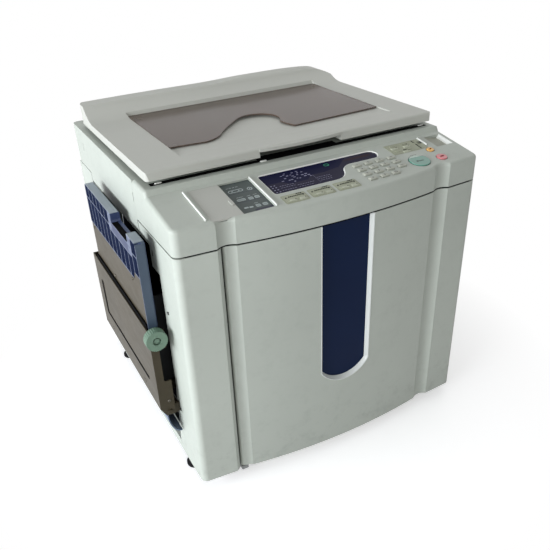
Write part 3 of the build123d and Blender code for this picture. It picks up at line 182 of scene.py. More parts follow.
def linear(red, green, blue, alpha=1.0):
    """A colour given as 0 to 255 screen values, as the linear values that a shader takes."""
    screen = np.array([red, green, blue]) / 255.0
    light = np.where(screen <= 0.04045, screen / 12.92, ((screen + 0.055) / 1.055) ** 2.4)
    return (*light.tolist(), alpha)


def shifted(colour, gain):
    """The colour with its three channels multiplied by gain."""
    return (*[min(1.0, channel * gain) for channel in colour[:3]], 1.0)


# Finishes


def moulding(name, colour, roughness=0.5, grain=0.00005, soften=0.0006, mottle=0.05, grime=0.0):
    """Spark-eroded plastic: a fine pebbled grain, slow changes of tone and handled patches."""
    finish = Finish(name)
    slow = finish.noise(3.0, 3.0)
    fine = finish.noise(900.0, 2.0)
    scuffs = finish.noise(38.0, 5.0, 0.7)
    tone = finish.mix(slow.fade(0.3, 0.7), shifted(colour, 1 - mottle), shifted(colour, 1 + mottle))
    if grime:
        x, y, z = finish.xyz()
        low = 1 - z.fade(0.02, 0.16)
        dirt = (low * 0.6 + 0.25) * scuffs.fade(0.5, 0.8) * grime
        tone = finish.mix(dirt, tone, shifted(colour, 0.45))
    rough = (scuffs - 0.5) * 0.14 + roughness
    return finish.shade(
        Base_Color=tone, Roughness=rough, Normal=finish.bump(fine, grain, soften), Specular_IOR_Level=0.45
    )


def glossy(name, colour, roughness=0.16, coat=0.6, mottle=0.04, soften=0.0004, shine=0.5):
    """Polished plastic with a clear skin, and faint wipe marks in its gloss."""
    finish = Finish(name)
    slow = finish.noise(12.0, 2.0)
    wipes = finish.noise(45.0, 4.0, 0.6, finish.stretched(1.0, 0.3, 0.3))
    tone = finish.mix(slow.fade(0.3, 0.7), shifted(colour, 1 - mottle), shifted(colour, 1 + mottle))
    rough = (wipes - 0.5) * 0.12 + roughness
    return finish.shade(
        Base_Color=tone,
        Roughness=rough,
        Coat_Weight=coat,
        Coat_Roughness=0.08,
        Specular_IOR_Level=shine,
        Normal=finish.bump(wipes, 0.00002, soften),
    )


def ribbed_moulding(name, face, cells, ridges, pale_top, depth_y, top_z, ridge_x):
    """The tray extension: blue grey on its post, navy in its cells, with pale rib edges
    painted as a highlight, and paler on its top."""
    finish = Finish(name)
    x, y, z = finish.xyz()
    cloud = finish.noise(26.0, 4.0)
    scuffs = finish.noise(150.0, 4.0, 0.7, finish.stretched(1.0, 0.3, 1.0))
    corner_y, corner_z, corner_radius = -0.216, 0.52, 0.0084
    reach = ((y - corner_y) * (y - corner_y) + (z - corner_z) * (z - corner_z)).math("SQRT")
    corner = reach.above(corner_radius) * y.below(corner_y) * z.above(corner_z)
    behind = y.above(depth_y) * z.below(top_z) * (1 - corner)
    tone = finish.mix(behind, face, cells)
    notch_low, notch_high, notch_front, notch_back = 0.4925, 0.5088, -0.177, -0.0765
    under = z.above(notch_low) * z.below(notch_high) * y.above(notch_front) * y.below(notch_back)
    # Pale rib edges on the outer face, broken by scuff noise: a painted highlight
    edge = x.below(ridge_x) * z.below(top_z) * (1 - under)
    tone = finish.mix(edge * scuffs.fade(0.3, 0.6), tone, ridges)
    # Paler on the top, in cloudy patches
    tone = finish.mix(z.above(top_z) * (cloud * 0.4 + 0.6), tone, pale_top)
    tone = finish.mix(scuffs.fade(0.6, 0.75) * 0.3, tone, ridges)
    grain = finish.noise(900.0, 2.0)
    return finish.shade(
        Base_Color=tone, Roughness=cloud * 0.2 + 0.36, Normal=finish.bump(grain, 0.00005, 0.0006)
    )


def ink(name, colour, roughness=0.5):
    """Screen-printed ink: matt, slightly uneven in its cover."""
    finish = Finish(name)
    cover = finish.noise(600.0, 3.0)
    tone = finish.mix(cover.fade(0.3, 0.7), shifted(colour, 0.9), shifted(colour, 1.1))
    return finish.shade(Base_Color=tone, Roughness=(cover - 0.5) * 0.1 + roughness, Specular_IOR_Level=0.12)


def painted_sheet(name, colour, roughness=0.42, rubbed=0.0, shine=0.18):
    """Powder paint on sheet steel: orange-peel texture, and rubs that show paler paint."""
    finish = Finish(name)
    peel = finish.noise(420.0, 2.0)
    slow = finish.noise(6.0, 3.0)
    rubs = finish.noise(60.0, 6.0, 0.7, finish.stretched(1.0, 0.35, 1.0))
    tone = finish.mix(slow.fade(0.3, 0.7), shifted(colour, 0.9), shifted(colour, 1.1))
    if rubbed:
        tone = finish.mix(rubs.fade(0.62, 0.72) * rubbed, tone, shifted(colour, 1.9))
    rough = (rubs - 0.5) * 0.2 + roughness
    return finish.shade(
        Base_Color=tone,
        Roughness=rough,
        Specular_IOR_Level=shine,
        Normal=finish.bump(peel, 0.00006, 0.0004),
    )


def steel(name, colour, roughness=0.28, along=(1.0, 0.05, 1.0)):
    """Ground or plated steel, with fine lines along its length."""
    finish = Finish(name)
    lines = finish.noise(900.0, 3.0, 0.6, finish.stretched(*along))
    cloud = finish.noise(20.0, 3.0)
    tone = finish.mix(cloud.fade(0.3, 0.7), shifted(colour, 0.88), shifted(colour, 1.08))
    rough = (lines - 0.5) * 0.2 + (cloud - 0.5) * 0.1 + roughness
    return finish.shade(
        Base_Color=tone, Metallic=1.0, Roughness=rough, Normal=finish.bump(lines, 0.00002, 0.0003)
    )


def rubber(name, colour, shine=0.3):
    """Ground rubber or felt: matt, with a fine tooth."""
    finish = Finish(name)
    tooth = finish.noise(1500.0, 2.0)
    cloud = finish.noise(30.0, 3.0)
    tone = finish.mix(cloud.fade(0.3, 0.7), shifted(colour, 0.8), shifted(colour, 1.3))
    return finish.shade(
        Base_Color=tone,
        Roughness=(cloud - 0.5) * 0.1 + 0.75,
        Specular_IOR_Level=shine,
        Normal=finish.bump(tooth, 0.00006),
    )


def woven_mat(name, colour):
    """The white face of the backing mat, with its faint pressed weave."""
    finish = Finish(name)
    x, y, z = finish.xyz()
    pitch = 2200.0
    weave = (x * pitch).math("SINE") * (y * pitch).math("SINE")
    cloud = finish.noise(8.0, 3.0)
    tone = finish.mix(cloud.fade(0.3, 0.8), colour, shifted(colour, 0.93))
    return finish.shade(Base_Color=tone, Roughness=0.7 + cloud * 0.1, Normal=finish.bump(weave, 0.00003))


def smoked_sheet(name, colour):
    """Smoked acrylic: brown, half see-through and glossy, with faint wipe marks."""
    finish = Finish(name)
    wipes = finish.noise(14.0, 5.0, 0.6, finish.stretched(1.0, 0.4, 1.0))
    tone = finish.mix(wipes.fade(0.3, 0.7), shifted(colour, 0.94), shifted(colour, 1.06))
    return finish.shade(
        Base_Color=tone,
        Roughness=wipes * 0.12 + 0.1,
        Alpha=wipes * 0.06 + 0.66,
        Specular_IOR_Level=0.35,
        Coat_Weight=0.15,
        Coat_Roughness=0.05,
    )


def clear_glass(name, colour):
    """Flat glass over the scanner, pale green at its edges."""
    finish = Finish(name)
    dust = finish.noise(60.0, 4.0)
    return finish.shade(
        Base_Color=finish.mix(dust, colour, shifted(colour, 0.9)),
        Roughness=dust * 0.08 + 0.02,
        Alpha=dust * 0.05 + 0.3,
        Specular_IOR_Level=0.7,
    )


def display_film(name, top, low, brown, panel):
    """The display window: a navy field above a violet grey band, split by a slanting line,
    with a brown streak along its arm."""
    finish = Finish(name)
    x, y, z = finish.xyz()
    up = (y - panel.edge_y) / math.cos(panel.tilt)
    cluster_x, split_up, arm_up = -0.049, 0.0702, 0.0925
    dip = (x - cluster_x).size().fade(0.03, 0.018) * 0.0115
    rise = (x - 0.01).fade(0.0, 0.03) * 0.005
    split = (up + dip - rise - split_up).fade(-0.0005, 0.0005)
    slant = (x * 0.88 - up + 0.0369).fade(-0.0004, 0.0004)
    field = finish.mix(split * (1 - slant), low, top)
    cloud = finish.noise(40.0, 3.0)
    streak = (up - arm_up).size().fade(0.0055, 0.001) * x.fade(0.06, 0.078) * x.fade(0.132, 0.118)
    tone = finish.mix(streak * (cloud * 0.6 + 0.4), field, brown)
    tone = finish.mix(cloud.fade(0.35, 0.75) * 0.1, tone, shifted(low, 1.25))
    return finish.shade(
        Base_Color=tone,
        Roughness=cloud * 0.1 + 0.3,
        Specular_IOR_Level=0.04,
        Normal=finish.bump(cloud, 0.00001, 0.0003),
    )


def printed_films(name, dark, navy, pale, panel):
    """The membrane films: dark under the shutter, with a navy strip at its foot, and
    pale yellow-green elsewhere."""
    finish = Finish(name)
    x, y, z = finish.xyz()
    up = (y - panel.edge_y) / math.cos(panel.tilt)
    grain = finish.noise(700.0, 2.0)
    cloud = finish.noise(30.0, 3.0)
    strip_up, strip_left, upper_line, lower_line, half_line = 0.0125, -0.161, 0.0702, 0.0412, 0.0006
    foot = up.below(strip_up) * x.above(strip_left)
    lines = (up - upper_line).size().below(half_line) + (up - lower_line).size().below(half_line)
    film = finish.mix((foot + lines).clamped(), dark, navy)
    tone = finish.mix(x.below(panel.film_right + 0.002), pale, film)
    tone = finish.mix(cloud.fade(0.3, 0.8) * 0.12, tone, shifted(dark, 1.6))
    return finish.shade(
        Base_Color=tone,
        Roughness=(cloud - 0.5) * 0.15 + 0.42,
        Specular_IOR_Level=0.2,
        Normal=finish.bump(grain, 0.00002, 0.0003),
    )


def drum_mesh(name, colour):
    """The drum's fine steel screen, inked to black in patches."""
    finish = Finish(name)
    x, y, z = finish.xyz()
    pitch = 1600.0
    weave = (y * pitch).math("SINE") * (z * pitch).math("SINE") * 0.5 + 0.5
    ink = finish.noise(22.0, 4.0).fade(0.35, 0.7)
    tone = finish.mix(ink * 0.7, colour, linear(18, 18, 20))
    return finish.shade(
        Base_Color=tone,
        Metallic=1 - ink * 0.7,
        Roughness=ink * 0.2 + 0.35,
        Normal=finish.bump(weave, 0.00008),
    )


# Surfaces


def ring(width, height, radius, steps):
    """A rounded rectangle's outline: each corner is a quarter circle about its own centre."""
    corner = np.arange(4)[:, None]
    angle = corner * HALF_TURN / 2 + np.linspace(0, HALF_TURN / 2, steps)[None, :]
    way_x = np.array([1, -1, -1, 1])[:, None]
    way_y = np.array([1, 1, -1, -1])[:, None]
    x = way_x * (width / 2 - radius) + radius * np.cos(angle)
    y = way_y * (height / 2 - radius) + radius * np.sin(angle)
    return np.stack([x, y], -1).reshape(-1, 2)


def ring_faces(rings, around, start=0):
    """Quads between neighbouring closed rings of points, and a polygon over each end."""
    row = np.arange(rings - 1)[:, None] * around
    step = np.arange(around)[None, :]
    after = (step + 1) % around
    corners = [row + step, row + after, row + around + after, row + around + step]
    quads = np.stack(np.broadcast_arrays(*corners), -1).reshape(-1, 4) + start
    ends = [list(range(start + around - 1, start - 1, -1))]
    ends.append(list(range(start + (rings - 1) * around, start + rings * around)))
    return quads.tolist() + ends


def pad(centre, size, radius, profile, steps=6):
    """A raised pad: rounded rectangles, each with its inset and height, one above another."""
    rings = []
    for inset, height in profile:
        flat = ring(size[0] - 2 * inset, size[1] - 2 * inset, max(radius - inset, radius * 0.05), steps)
        rings.append(np.column_stack([flat + np.array(centre), np.full(len(flat), height)]))
    return np.concatenate(rings), ring_faces(len(profile), 4 * steps)


def band(centre, size, radius, width, low, high, steps=6):
    """A raised outline: a rounded rectangle's ring, carried up, inwards and down again."""
    rings = []
    for inset, height in ((0, low), (0, high), (width, high), (width, low)):
        flat = ring(size[0] - 2 * inset, size[1] - 2 * inset, max(radius - inset, radius * 0.05), steps)
        rings.append(np.column_stack([flat + np.array(centre), np.full(len(flat), height)]))
    rings.append(rings[0])
    faces = ring_faces(5, 4 * steps)[:-2]
    around = 4 * steps
    faces = [[corner % (4 * around) for corner in face] for face in faces]
    return np.concatenate(rings[:4]), faces


def marks(rows, low, high):
    """Flat marks from rows of u, v, width, height and corner radius in millimetres."""
    shapes = []
    for u, v, width, height, radius in rows:
        profile = ((0, low), (0, high))
        shapes.append(pad((u * MM, v * MM), (width * MM, height * MM), radius * MM, profile, 4))
    return joined(shapes)


def outlines(rows, line, low, high):
    """Outlines from rows of u, v, width, height and corner radius in millimetres."""
    shapes = []
    for u, v, width, height, radius in rows:
        shapes.append(band((u * MM, v * MM), (width * MM, height * MM), radius * MM, line * MM, low, high))
    return joined(shapes)


def swept(path, outline):
    """A closed outline of (out, up) pairs carried along a path of (x, y, z) rows that runs
    along X: out is added to y and up to z."""
    out, up = np.array(outline).T
    points = np.repeat(path, len(outline), axis=0)
    points[:, 1] += np.tile(out, len(path))
    points[:, 2] += np.tile(up, len(path))
    return points, ring_faces(len(path), len(outline))


def turned(profile, around=32):
    """A surface of revolution about local Z: a profile of radius and height, swept round."""
    angle = np.linspace(0, 2 * HALF_TURN, around, endpoint=False)[None, :]
    radius = np.array([p[0] for p in profile])[:, None]
    height = np.array([p[1] for p in profile])[:, None]
    points = [radius * np.cos(angle), radius * np.sin(angle), height + 0 * angle]
    return np.stack(points, -1).reshape(-1, 3), ring_faces(len(profile), around)


def joined(parts):
    """Several (points, faces) pairs as one pair."""
    points, faces, start = [], [], 0
    for these, sides in parts:
        points.append(these)
        faces += [[corner + start for corner in side] for side in sides]
        start += len(these)
    return np.concatenate(points), faces


def on_panel(points, panel):
    """Points given as u, v and height on the sloping panel, in the CAD frame."""
    up = np.array([0, math.cos(panel.tilt), math.sin(panel.tilt)])
    out = np.array([0, -math.sin(panel.tilt), math.cos(panel.tilt)])
    across = np.array([1.0, 0, 0])
    origin = np.array([0, panel.edge_y, panel.edge_z])
    return origin + points[:, :1] * across + points[:, 1:2] * up + points[:, 2:] * out


def facing(points, place, normal):
    """Points whose local Z is turned to a normal and moved to a place."""
    turn = np.array(Vector(normal).to_track_quat("Z", "Y").to_matrix())
    return points @ turn.T + np.array(place)


def turned_to(shape, place, normal):
    """A (points, faces) pair turned to a normal and moved to a place."""
    return facing(shape[0], place, normal), shape[1]


def screw(place, normal, radius, height):
    """A pan-head screw: a domed head of revolution with a sunken middle."""
    dome = [(radius, 0), (radius, 0.35 * height), (radius * 0.9, 0.7 * height), (radius * 0.6, height)]
    dome += [(radius * 0.5, height), (radius * 0.42, 0.5 * height)]
    return turned_to(turned(dome, 24), place, normal)


def sloped(shape, panel):
    """A (points, faces) pair given as u, v and height, laid on the sloping panel."""
    return on_panel(shape[0], panel), shape[1]


def arc(first, middle, last, steps):
    """Points on the circle through three points, from the first to the last."""
    a, b, c = (complex(*point) for point in (first, middle, last))
    w = (c - a) / (b - a)
    centre = (b - a) * (w - abs(w) ** 2) / (2j * w.imag) + a
    radius = abs(a - centre)
    start, half, end = (math.atan2((p - centre).imag, (p - centre).real) for p in (a, b, c))
    turn = (end - start) % (2 * HALF_TURN)
    if (half - start) % (2 * HALF_TURN) > turn:
        turn -= 2 * HALF_TURN
    angle = start + turn * np.linspace(0, 1, steps)
    return np.column_stack([centre.real + radius * np.cos(angle), centre.imag + radius * np.sin(angle)])


def lens_line():
    """The display's outline in panel millimetres: a block whose arm ends in a half circle."""
    runs = [np.array([[-105.0, 104.0]]), arc((124, 104), (139, 89), (124, 74), 15)]
    runs += [arc((72, 74), (56.5, 70.5), (46, 59), 10), arc((46, 59), (33, 39.5), (10, 33), 10)[1:]]
    runs.append(arc((-105, 33), (-109.24, 34.76), (-111, 39), 6))
    runs.append(arc((-111, 98), (-109.24, 102.24), (-105, 104), 6)[:-1])
    return np.concatenate(runs)


def rim(line, rows):
    """A closed rim along an outline: each row is moved inwards and to its own height."""
    ahead, back = np.roll(line, -1, 0), np.roll(line, 1, 0)
    along = ahead - back
    along /= np.linalg.norm(along, axis=1)[:, None]
    inward = np.column_stack([along[:, 1], -along[:, 0]])
    rings = [np.column_stack([line + inward * shift, np.full(len(line), height)]) for shift, height in rows]
    count = len(line)
    faces = ring_faces(len(rows) + 1, count)[:-2]
    faces = [[corner % (count * len(rows)) for corner in face] for face in faces]
    return np.concatenate(rings) * MM, faces


def sign(text, size):
    """The outline of a number as a thin flat mesh about the origin."""
    letters = bpy.data.curves.new("Sign", "FONT")
    letters.body, letters.size, letters.extrude = text, size, 0.00005
    letters.align_x, letters.align_y = "CENTER", "CENTER"
    holder = bpy.data.objects.new("Sign", letters)
    flat = bpy.data.meshes.new_from_object(holder)
    points = np.array([v.co for v in flat.vertices])
    faces = [list(face.vertices) for face in flat.polygons]
    bpy.data.objects.remove(holder)
    bpy.data.curves.remove(letters)
    bpy.data.meshes.remove(flat)
    return points, faces


def front_line(inset, steps=60):
    """The cabinet's front outline in plan, set back by inset: a bow of radius 1286.6 mm
    between two flutes, each an arc 6.7 mm deep, and a straight run to each corner."""
    half_width, bow_end, flute_end = 0.296, 0.206, 0.241
    bow_y, bow_radius = -0.335, 1.2866
    flute_y, flute_depth, flute_radius = -0.3184, 0.0067, 0.0262
    corner_slope = 0.0041 / 0.06
    across = np.linspace(-half_width, half_width, 2 * steps + 1)
    x = np.abs(across)
    bow = bow_y + bow_radius - np.sqrt(bow_radius**2 - np.minimum(x, bow_end) ** 2)
    half_flute = (flute_end - bow_end) / 2
    away = np.clip(x - (bow_end + flute_end) / 2, -half_flute, half_flute)
    flute = flute_y + flute_depth - (flute_radius - np.sqrt(flute_radius**2 - away**2))
    run = flute_y + (x - flute_end) * corner_slope
    y = np.where(x < bow_end, bow, np.where(x < flute_end, flute, run)) + inset
    return np.column_stack([across, y, 0 * y])


def up_slope(section, low, high):
    """A section of (u, height) pairs in panel millimetres, carried up the slope from low to
    high."""
    rings = [[(side, v, height) for side, height in section] for v in np.linspace(low, high, 5)]
    return np.array(rings).reshape(-1, 3) * MM, ring_faces(5, len(section))


def piece(name, shape, material, body, smooth=True):
    """A mesh object at the origin, from points and faces, that rides on a body."""
    points, faces = shape
    mesh = bpy.data.meshes.new(name)
    mesh.from_pydata(points.tolist(), [], faces)
    mesh.validate()
    mesh.polygons.foreach_set("use_smooth", np.full(len(mesh.polygons), smooth))
    made = bpy.data.objects.new(name, mesh)
    bpy.context.scene.collection.objects.link(made)
    made.data.materials.append(material)
    if smooth:
        mesh.set_sharp_from_angle(angle=math.radians(35))
    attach(made, body)
    return made


def paint(nodes, material):
    """Gives CAD nodes a finish."""
    for name in nodes:
        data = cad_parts[name].data
        data.materials.clear()
        data.materials.append(material)


# Settings


class CabinetColours(bpy.types.PropertyGroup):
    """Colours of the cabinet and its lid, as linear values from 0 to 1."""

    body: FloatVectorProperty(
        name="Cabinet", description="Cabinet mouldings", subtype="COLOR", default=(0.455, 0.49, 0.44)
    )
    lid: FloatVectorProperty(
        name="Lid", description="Platen cover", subtype="COLOR", default=(0.5, 0.51, 0.465)
    )
    trim: FloatVectorProperty(
        name="Trim", description="Surround of the badge", subtype="COLOR", default=(0.72, 0.75, 0.72)
    )
    badge: FloatVectorProperty(
        name="Badge", description="Sunken blue plate", subtype="COLOR", default=(0.003, 0.011, 0.042)
    )


class PanelSizes(bpy.types.PropertyGroup):
    """Where the sloping key panel lies and where its dark film ends."""

    edge_y: FloatProperty(
        name="Front edge", description="Depth of the panel's front edge", unit="LENGTH", default=-0.3135
    )
    edge_z: FloatProperty(
        name="Edge height", description="Height of the front edge", unit="LENGTH", default=0.5755
    )
    tilt: FloatProperty(
        name="Tilt", description="Slope of the panel", unit="ROTATION", default=math.radians(8.8)
    )
    film_right: FloatProperty(
        name="Film edge", description="Right edge of the dark film", unit="LENGTH", default=-0.127
    )


class TrayColours(bpy.types.PropertyGroup):
    """Colours of the folding trays, as linear values from 0 to 1."""

    sheet: FloatVectorProperty(
        name="Sheet", description="Taupe painted steel", subtype="COLOR", default=(0.05, 0.041, 0.025)
    )
    moulding: FloatVectorProperty(
        name="Post", description="Blue grey moulding", subtype="COLOR", default=(0.046, 0.07, 0.108)
    )
    cells: FloatVectorProperty(
        name="Cells", description="Navy floor of its cells", subtype="COLOR", default=(0.022, 0.037, 0.1)
    )
    dial: FloatVectorProperty(
        name="Dial", description="Print position dial", subtype="COLOR", default=(0.137, 0.22, 0.16)
    )


class StageSettings(bpy.types.PropertyGroup):
    """Camera and room light."""

    place: FloatVectorProperty(
        name="Camera",
        description="Camera position",
        subtype="TRANSLATION",
        default=(-0.5918, -1.1991, 1.0056),
    )
    azimuth: FloatProperty(
        name="Azimuth", description="Camera turn", unit="ROTATION", default=math.radians(-25.95)
    )
    elevation: FloatProperty(
        name="Elevation", description="Camera tilt", unit="ROTATION", default=math.radians(31.79)
    )
    roll: FloatProperty(
        name="Roll", description="Camera roll", unit="ROTATION", default=math.radians(-3.07)
    )
    lens: FloatProperty(name="Lens", description="Focal length", unit="CAMERA", default=42.41)
    shift_x: FloatProperty(name="Shift X", description="Sideways lens shift", default=0.0211)
    shift_y: FloatProperty(name="Shift Y", description="Upward lens shift", default=0.0525)
    world: FloatProperty(name="Room light", description="Strength of the even room light", default=0.24)


def chosen(values):
    """A property's three values as a shader colour."""
    return (*values, 1.0)


def lay(name, shape, panel, material, body="chassis", smooth=False):
    """A piece given as u, v and height, laid on the sloping panel."""
    piece(name, sloped(shape, panel), material, body, smooth)


def dark_ink():
    """The dark grey ink that the pale keys and the start key share."""
    return bpy.data.materials.get("Dark ink") or ink("Dark ink", linear(58, 62, 58))


# Operators


class DUPLICATOR_OT_cabinet(bpy.types.Operator):
    """Finish the cabinet, the lid, the scanner and the badge."""

    bl_idname = "duplicator.cabinet"
    bl_label = "Cabinet and lid"

    def execute(self, context):
        colours = context.scene.duplicator_cabinet
        shell, lid = chosen(colours.body), chosen(colours.lid)
        body = moulding("Cabinet moulding", shell, grime=0.5)
        paint(("right_side_cover", "rear_cover", "front_door"), body)
        paint(("panel_housing", "scanner_housing"), body)
        # Painted light: the front column and the left side get a lighter copy of the cabinet colour
        pale = moulding("Lit side moulding", shifted(shell, 1.06), grime=0.5)
        paint(("front_column", "left_side_cover"), pale)
        paint(("platen_cover",), moulding("Lid moulding", lid, 0.48, mottle=0.03))
        paint(("memory_shutter",), moulding("Shutter moulding", shifted(lid, 0.88), 0.45, 0.00003))
        paint(("badge_bezel",), moulding("Badge surround", chosen(colours.trim), 0.4, 0.00003))
        paint(("badge_plate",), glossy("Badge plate", chosen(colours.badge), 0.45, 0.0, shine=0.08))
        paint(("original_mat",), woven_mat("Backing mat", linear(236, 236, 232)))
        paint(("smoked_window",), smoked_sheet("Smoked acrylic", linear(82, 60, 44)))
        paint(("platen_glass",), clear_glass("Scanner glass", linear(190, 215, 205)))
        return {"FINISHED"}


class DUPLICATOR_OT_bumpers(bpy.types.Operator):
    """Make the three soft ovals between the scanner and the closed lid."""

    bl_idname = "duplicator.bumpers"
    bl_label = "Lid bumpers"

    def execute(self, context):
        white = moulding("White bumper", linear(226, 228, 222), 0.55)
        rises = ((0, 0), (0, 0.0013), (0.0006, 0.002), (0.0014, 0.0022))
        profile = [(inset, TABLE_Z + rise) for inset, rise in rises]
        spots = ((-0.2803, -0.1714), (-0.0786, -0.1765), (0.2864, -0.171))
        shapes = [pad(spot, (0.0135, 0.0046), 0.0023, profile) for spot in spots]
        piece("lid_bumpers", joined(shapes), white, "chassis")
        return {"FINISHED"}


class DUPLICATOR_OT_shade_strips(bpy.types.Operator):
    """Make black strips of painted shade in the seam under the panel, under the lid and beside the door."""

    bl_idname = "duplicator.felts"
    bl_label = "Shade strips"

    def execute(self, context):
        felt = rubber("Painted shade black", linear(10, 10, 11), 0.03)
        # Painted shade in the seam under the panel: a black strip just inside the front outline
        seam_z, seam_width, seam_height = 0.5263, 0.005, 0.0027
        line = front_line(0.0003)
        line[:, 2] = seam_z
        outline = ((0, 0), (seam_width, 0), (seam_width, seam_height), (0, seam_height))
        piece("seam_shade_strip", swept(line, outline), felt, "chassis", smooth=False)
        # Painted shade under the lid's front edge and its grip: black strips on the scanner's table
        low = TABLE_Z + 0.0001
        lid_shade = [pad((0, -0.171), (0.592, 0.0125), 0.001, ((0, low), (0, low + 0.0005)), 3)]
        lid_shade.append(pad((0, -0.158), (0.172, 0.0165), 0.001, ((0, low), (0, low + 0.0006)), 3))
        piece("lid_shade_strip", joined(lid_shade), felt, "chassis", smooth=False)
        # Painted shade in the gap between the column and the door: a black strip on the column's edge
        door_low, door_high = 0.06, 0.5245
        profile = ((0, door_low), (0, door_high))
        strip = pad((-0.2304, -0.30275), (0.0024, 0.0055), 0.0006, profile, 3)
        piece("door_gap_shade_strip", strip, felt, "chassis", smooth=False)
        return {"FINISHED"}


class DUPLICATOR_OT_side_fasteners(bpy.types.Operator):
    """Make two screws and a hanging slot on the left side."""

    bl_idname = "duplicator.side_fasteners"
    bl_label = "Side screws and slot"

    def execute(self, context):
        side_x = -0.315
        dark = steel("Dark screw", linear(60, 60, 62), 0.4)
        spots = ((side_x, -0.2388, 0.3862), (side_x, -0.2305, 0.1553))
        heads = [screw(spot, LEFT, 0.0034, 0.0016) for spot in spots]
        piece("side_screws", joined(heads), dark, "chassis")
        black = rubber("Slot shadow", linear(12, 12, 13), 0.03)
        slot = pad((0, 0), (0.003, 0.012), 0.0014, ((0, -0.0002), (0, 0.0002)), 6)
        slot = turned_to(slot, (side_x, -0.194, 0.488), LEFT)
        piece("side_slot", slot, black, "chassis", smooth=False)
        return {"FINISHED"}


class DUPLICATOR_OT_inside(bpy.types.Operator):
    """Finish the frame, the drum, the rollers and the rest of the inside."""

    bl_idname = "duplicator.inside"
    bl_label = "Frame and print section"

    def execute(self, context):
        plated = painted_sheet("Zinc sheet", linear(150, 152, 152), 0.38)
        paint(("base_pan", "front_frame", "rear_frame"), plated)
        black = painted_sheet("Black sheet", linear(16, 16, 18), 0.6, shine=0.08)
        paint(("drum_carrier", "levelling_feet"), black)
        paint(("feed_side_plate",), painted_sheet("Shaded sheet", linear(5, 5, 6), 0.9, shine=0.0))
        paint(("hinge_pins", "scanner_rails"), steel("Ground bar", linear(205, 206, 208)))
        dark = moulding("Black moulding", linear(30, 30, 33), 0.5)
        paint(("master_unit", "scan_carriage", "power_inlet"), dark)
        paint(("ink_cartridge",), moulding("Bottle", linear(70, 72, 80), 0.4))
        paint(("print_drum",), drum_mesh("Drum screen", linear(170, 172, 176)))
        paint(("pressure_roller", "pickup_roller"), rubber("Ground rubber", linear(52, 53, 56)))
        return {"FINISHED"}


class DUPLICATOR_OT_trays(bpy.types.Operator):
    """Finish the feed tray, the receiving tray and the position dial."""

    bl_idname = "duplicator.trays"
    bl_label = "Folding trays"

    def execute(self, context):
        colours = context.scene.duplicator_trays
        sheet = painted_sheet("Taupe sheet", chosen(colours.sheet), 0.4, 0.4)
        paint(("feed_tray_frame", "feed_tray_plate", "tray_elevator"), sheet)
        face, cells = chosen(colours.moulding), chosen(colours.cells)
        # The rib edge colour is a painted highlight; the top colour is paler
        edges, pale_top = linear(100, 110, 132), linear(146, 156, 164)
        post_back, cells_top, face_x = -0.2242, 0.5282, -0.35165
        ribs = ribbed_moulding("Ribbed moulding", face, cells, edges, pale_top, post_back, cells_top, face_x)
        paint(("feed_tray_extension",), ribs)
        paint(("receiving_tray",), moulding("Blue moulding", face, 0.42, mottle=0.12))
        guide = painted_sheet("Dark guide", linear(30, 31, 33), 0.5, shine=0.15)
        paint(("paper_guide_front", "paper_guide_rear"), guide)
        grey = moulding("Blue grey moulding", linear(120, 128, 145), 0.45)
        paint(("receiving_fence_front", "receiving_fence_rear", "paper_stop"), grey)
        paint(("position_dial",), moulding("Mint moulding", chosen(colours.dial), 0.4, mottle=0.06))
        return {"FINISHED"}


class DUPLICATOR_OT_tray_screws(bpy.types.Operator):
    """Make three screws in the tray's plate and one in its frame's front wall."""

    bl_idname = "duplicator.tray_screws"
    bl_label = "Tray screws"

    def execute(self, context):
        plated = steel("Zinc screw", linear(104, 100, 92), 0.45)
        plate_x = -0.351
        spots = ((plate_x, 0.1, 0.431), (plate_x, -0.0227, 0.3718), (plate_x, -0.1663, 0.4344))
        heads = [screw(spot, LEFT, 0.0032, 0.0018) for spot in spots]
        piece("plate_screws", joined(heads), plated, "tray_deck")
        head = screw((-0.337, -0.235, 0.1896), (0, -1, 0), 0.0034, 0.0018)
        piece("frame_screw", head, plated, "feed_tray")
        return {"FINISHED"}


class DUPLICATOR_OT_tray_shade(bpy.types.Operator):
    """Make black sheets of painted shade over the tray's frame, in its two slits and in the notch."""

    bl_idname = "duplicator.tray_foam"
    bl_label = "Tray shade"

    def execute(self, context):
        black = rubber("Tray shade black", linear(9, 9, 10), 0.03)
        # Painted shadow along the frame's top edge: a black strip on the plate
        strip = pad((0, 0), (0.331, 0.012), 0.001, ((0, 0), (0, 0.0033)), 3)
        strip = turned_to(strip, (-0.351, -0.0555, 0.3575), LEFT)
        piece("plate_shade_strip", strip, black, "tray_deck", smooth=False)
        # Painted shade on the notch's floor
        notch_z = 0.511
        profile = ((0, notch_z), (0, notch_z + 0.0003))
        floor = pad((-0.3458, -0.1268), (0.0115, 0.0992), 0.001, profile, 3)
        piece("notch_shade_sheet", floor, black, "tray_deck", smooth=False)
        # Painted shade in the two slits: thin black sheets in the frame's outer face
        slits = (
            (-0.3543, 0.0004, (0.0085, 0.089), (0.09825, 0.2605)),
            (-0.3543, 0.0004, (0.289, 0.0085), (-0.0425, 0.22025)),
            (-0.3566, 0.0006, (0.0125, 0.0865), (0.0985, 0.26025)),
            (-0.3566, 0.0006, (0.29, 0.0066), (-0.0415, 0.2203)),
        )
        shapes = []
        for x, thick, size, (y, z) in slits:
            sheet = pad((0, 0), size, 0.001, ((0, 0), (0, thick)), 3)
            shapes.append(turned_to(sheet, (x, y, z), LEFT))
        piece("slit_shade_sheets", joined(shapes), black, "feed_tray", smooth=False)
        return {"FINISHED"}


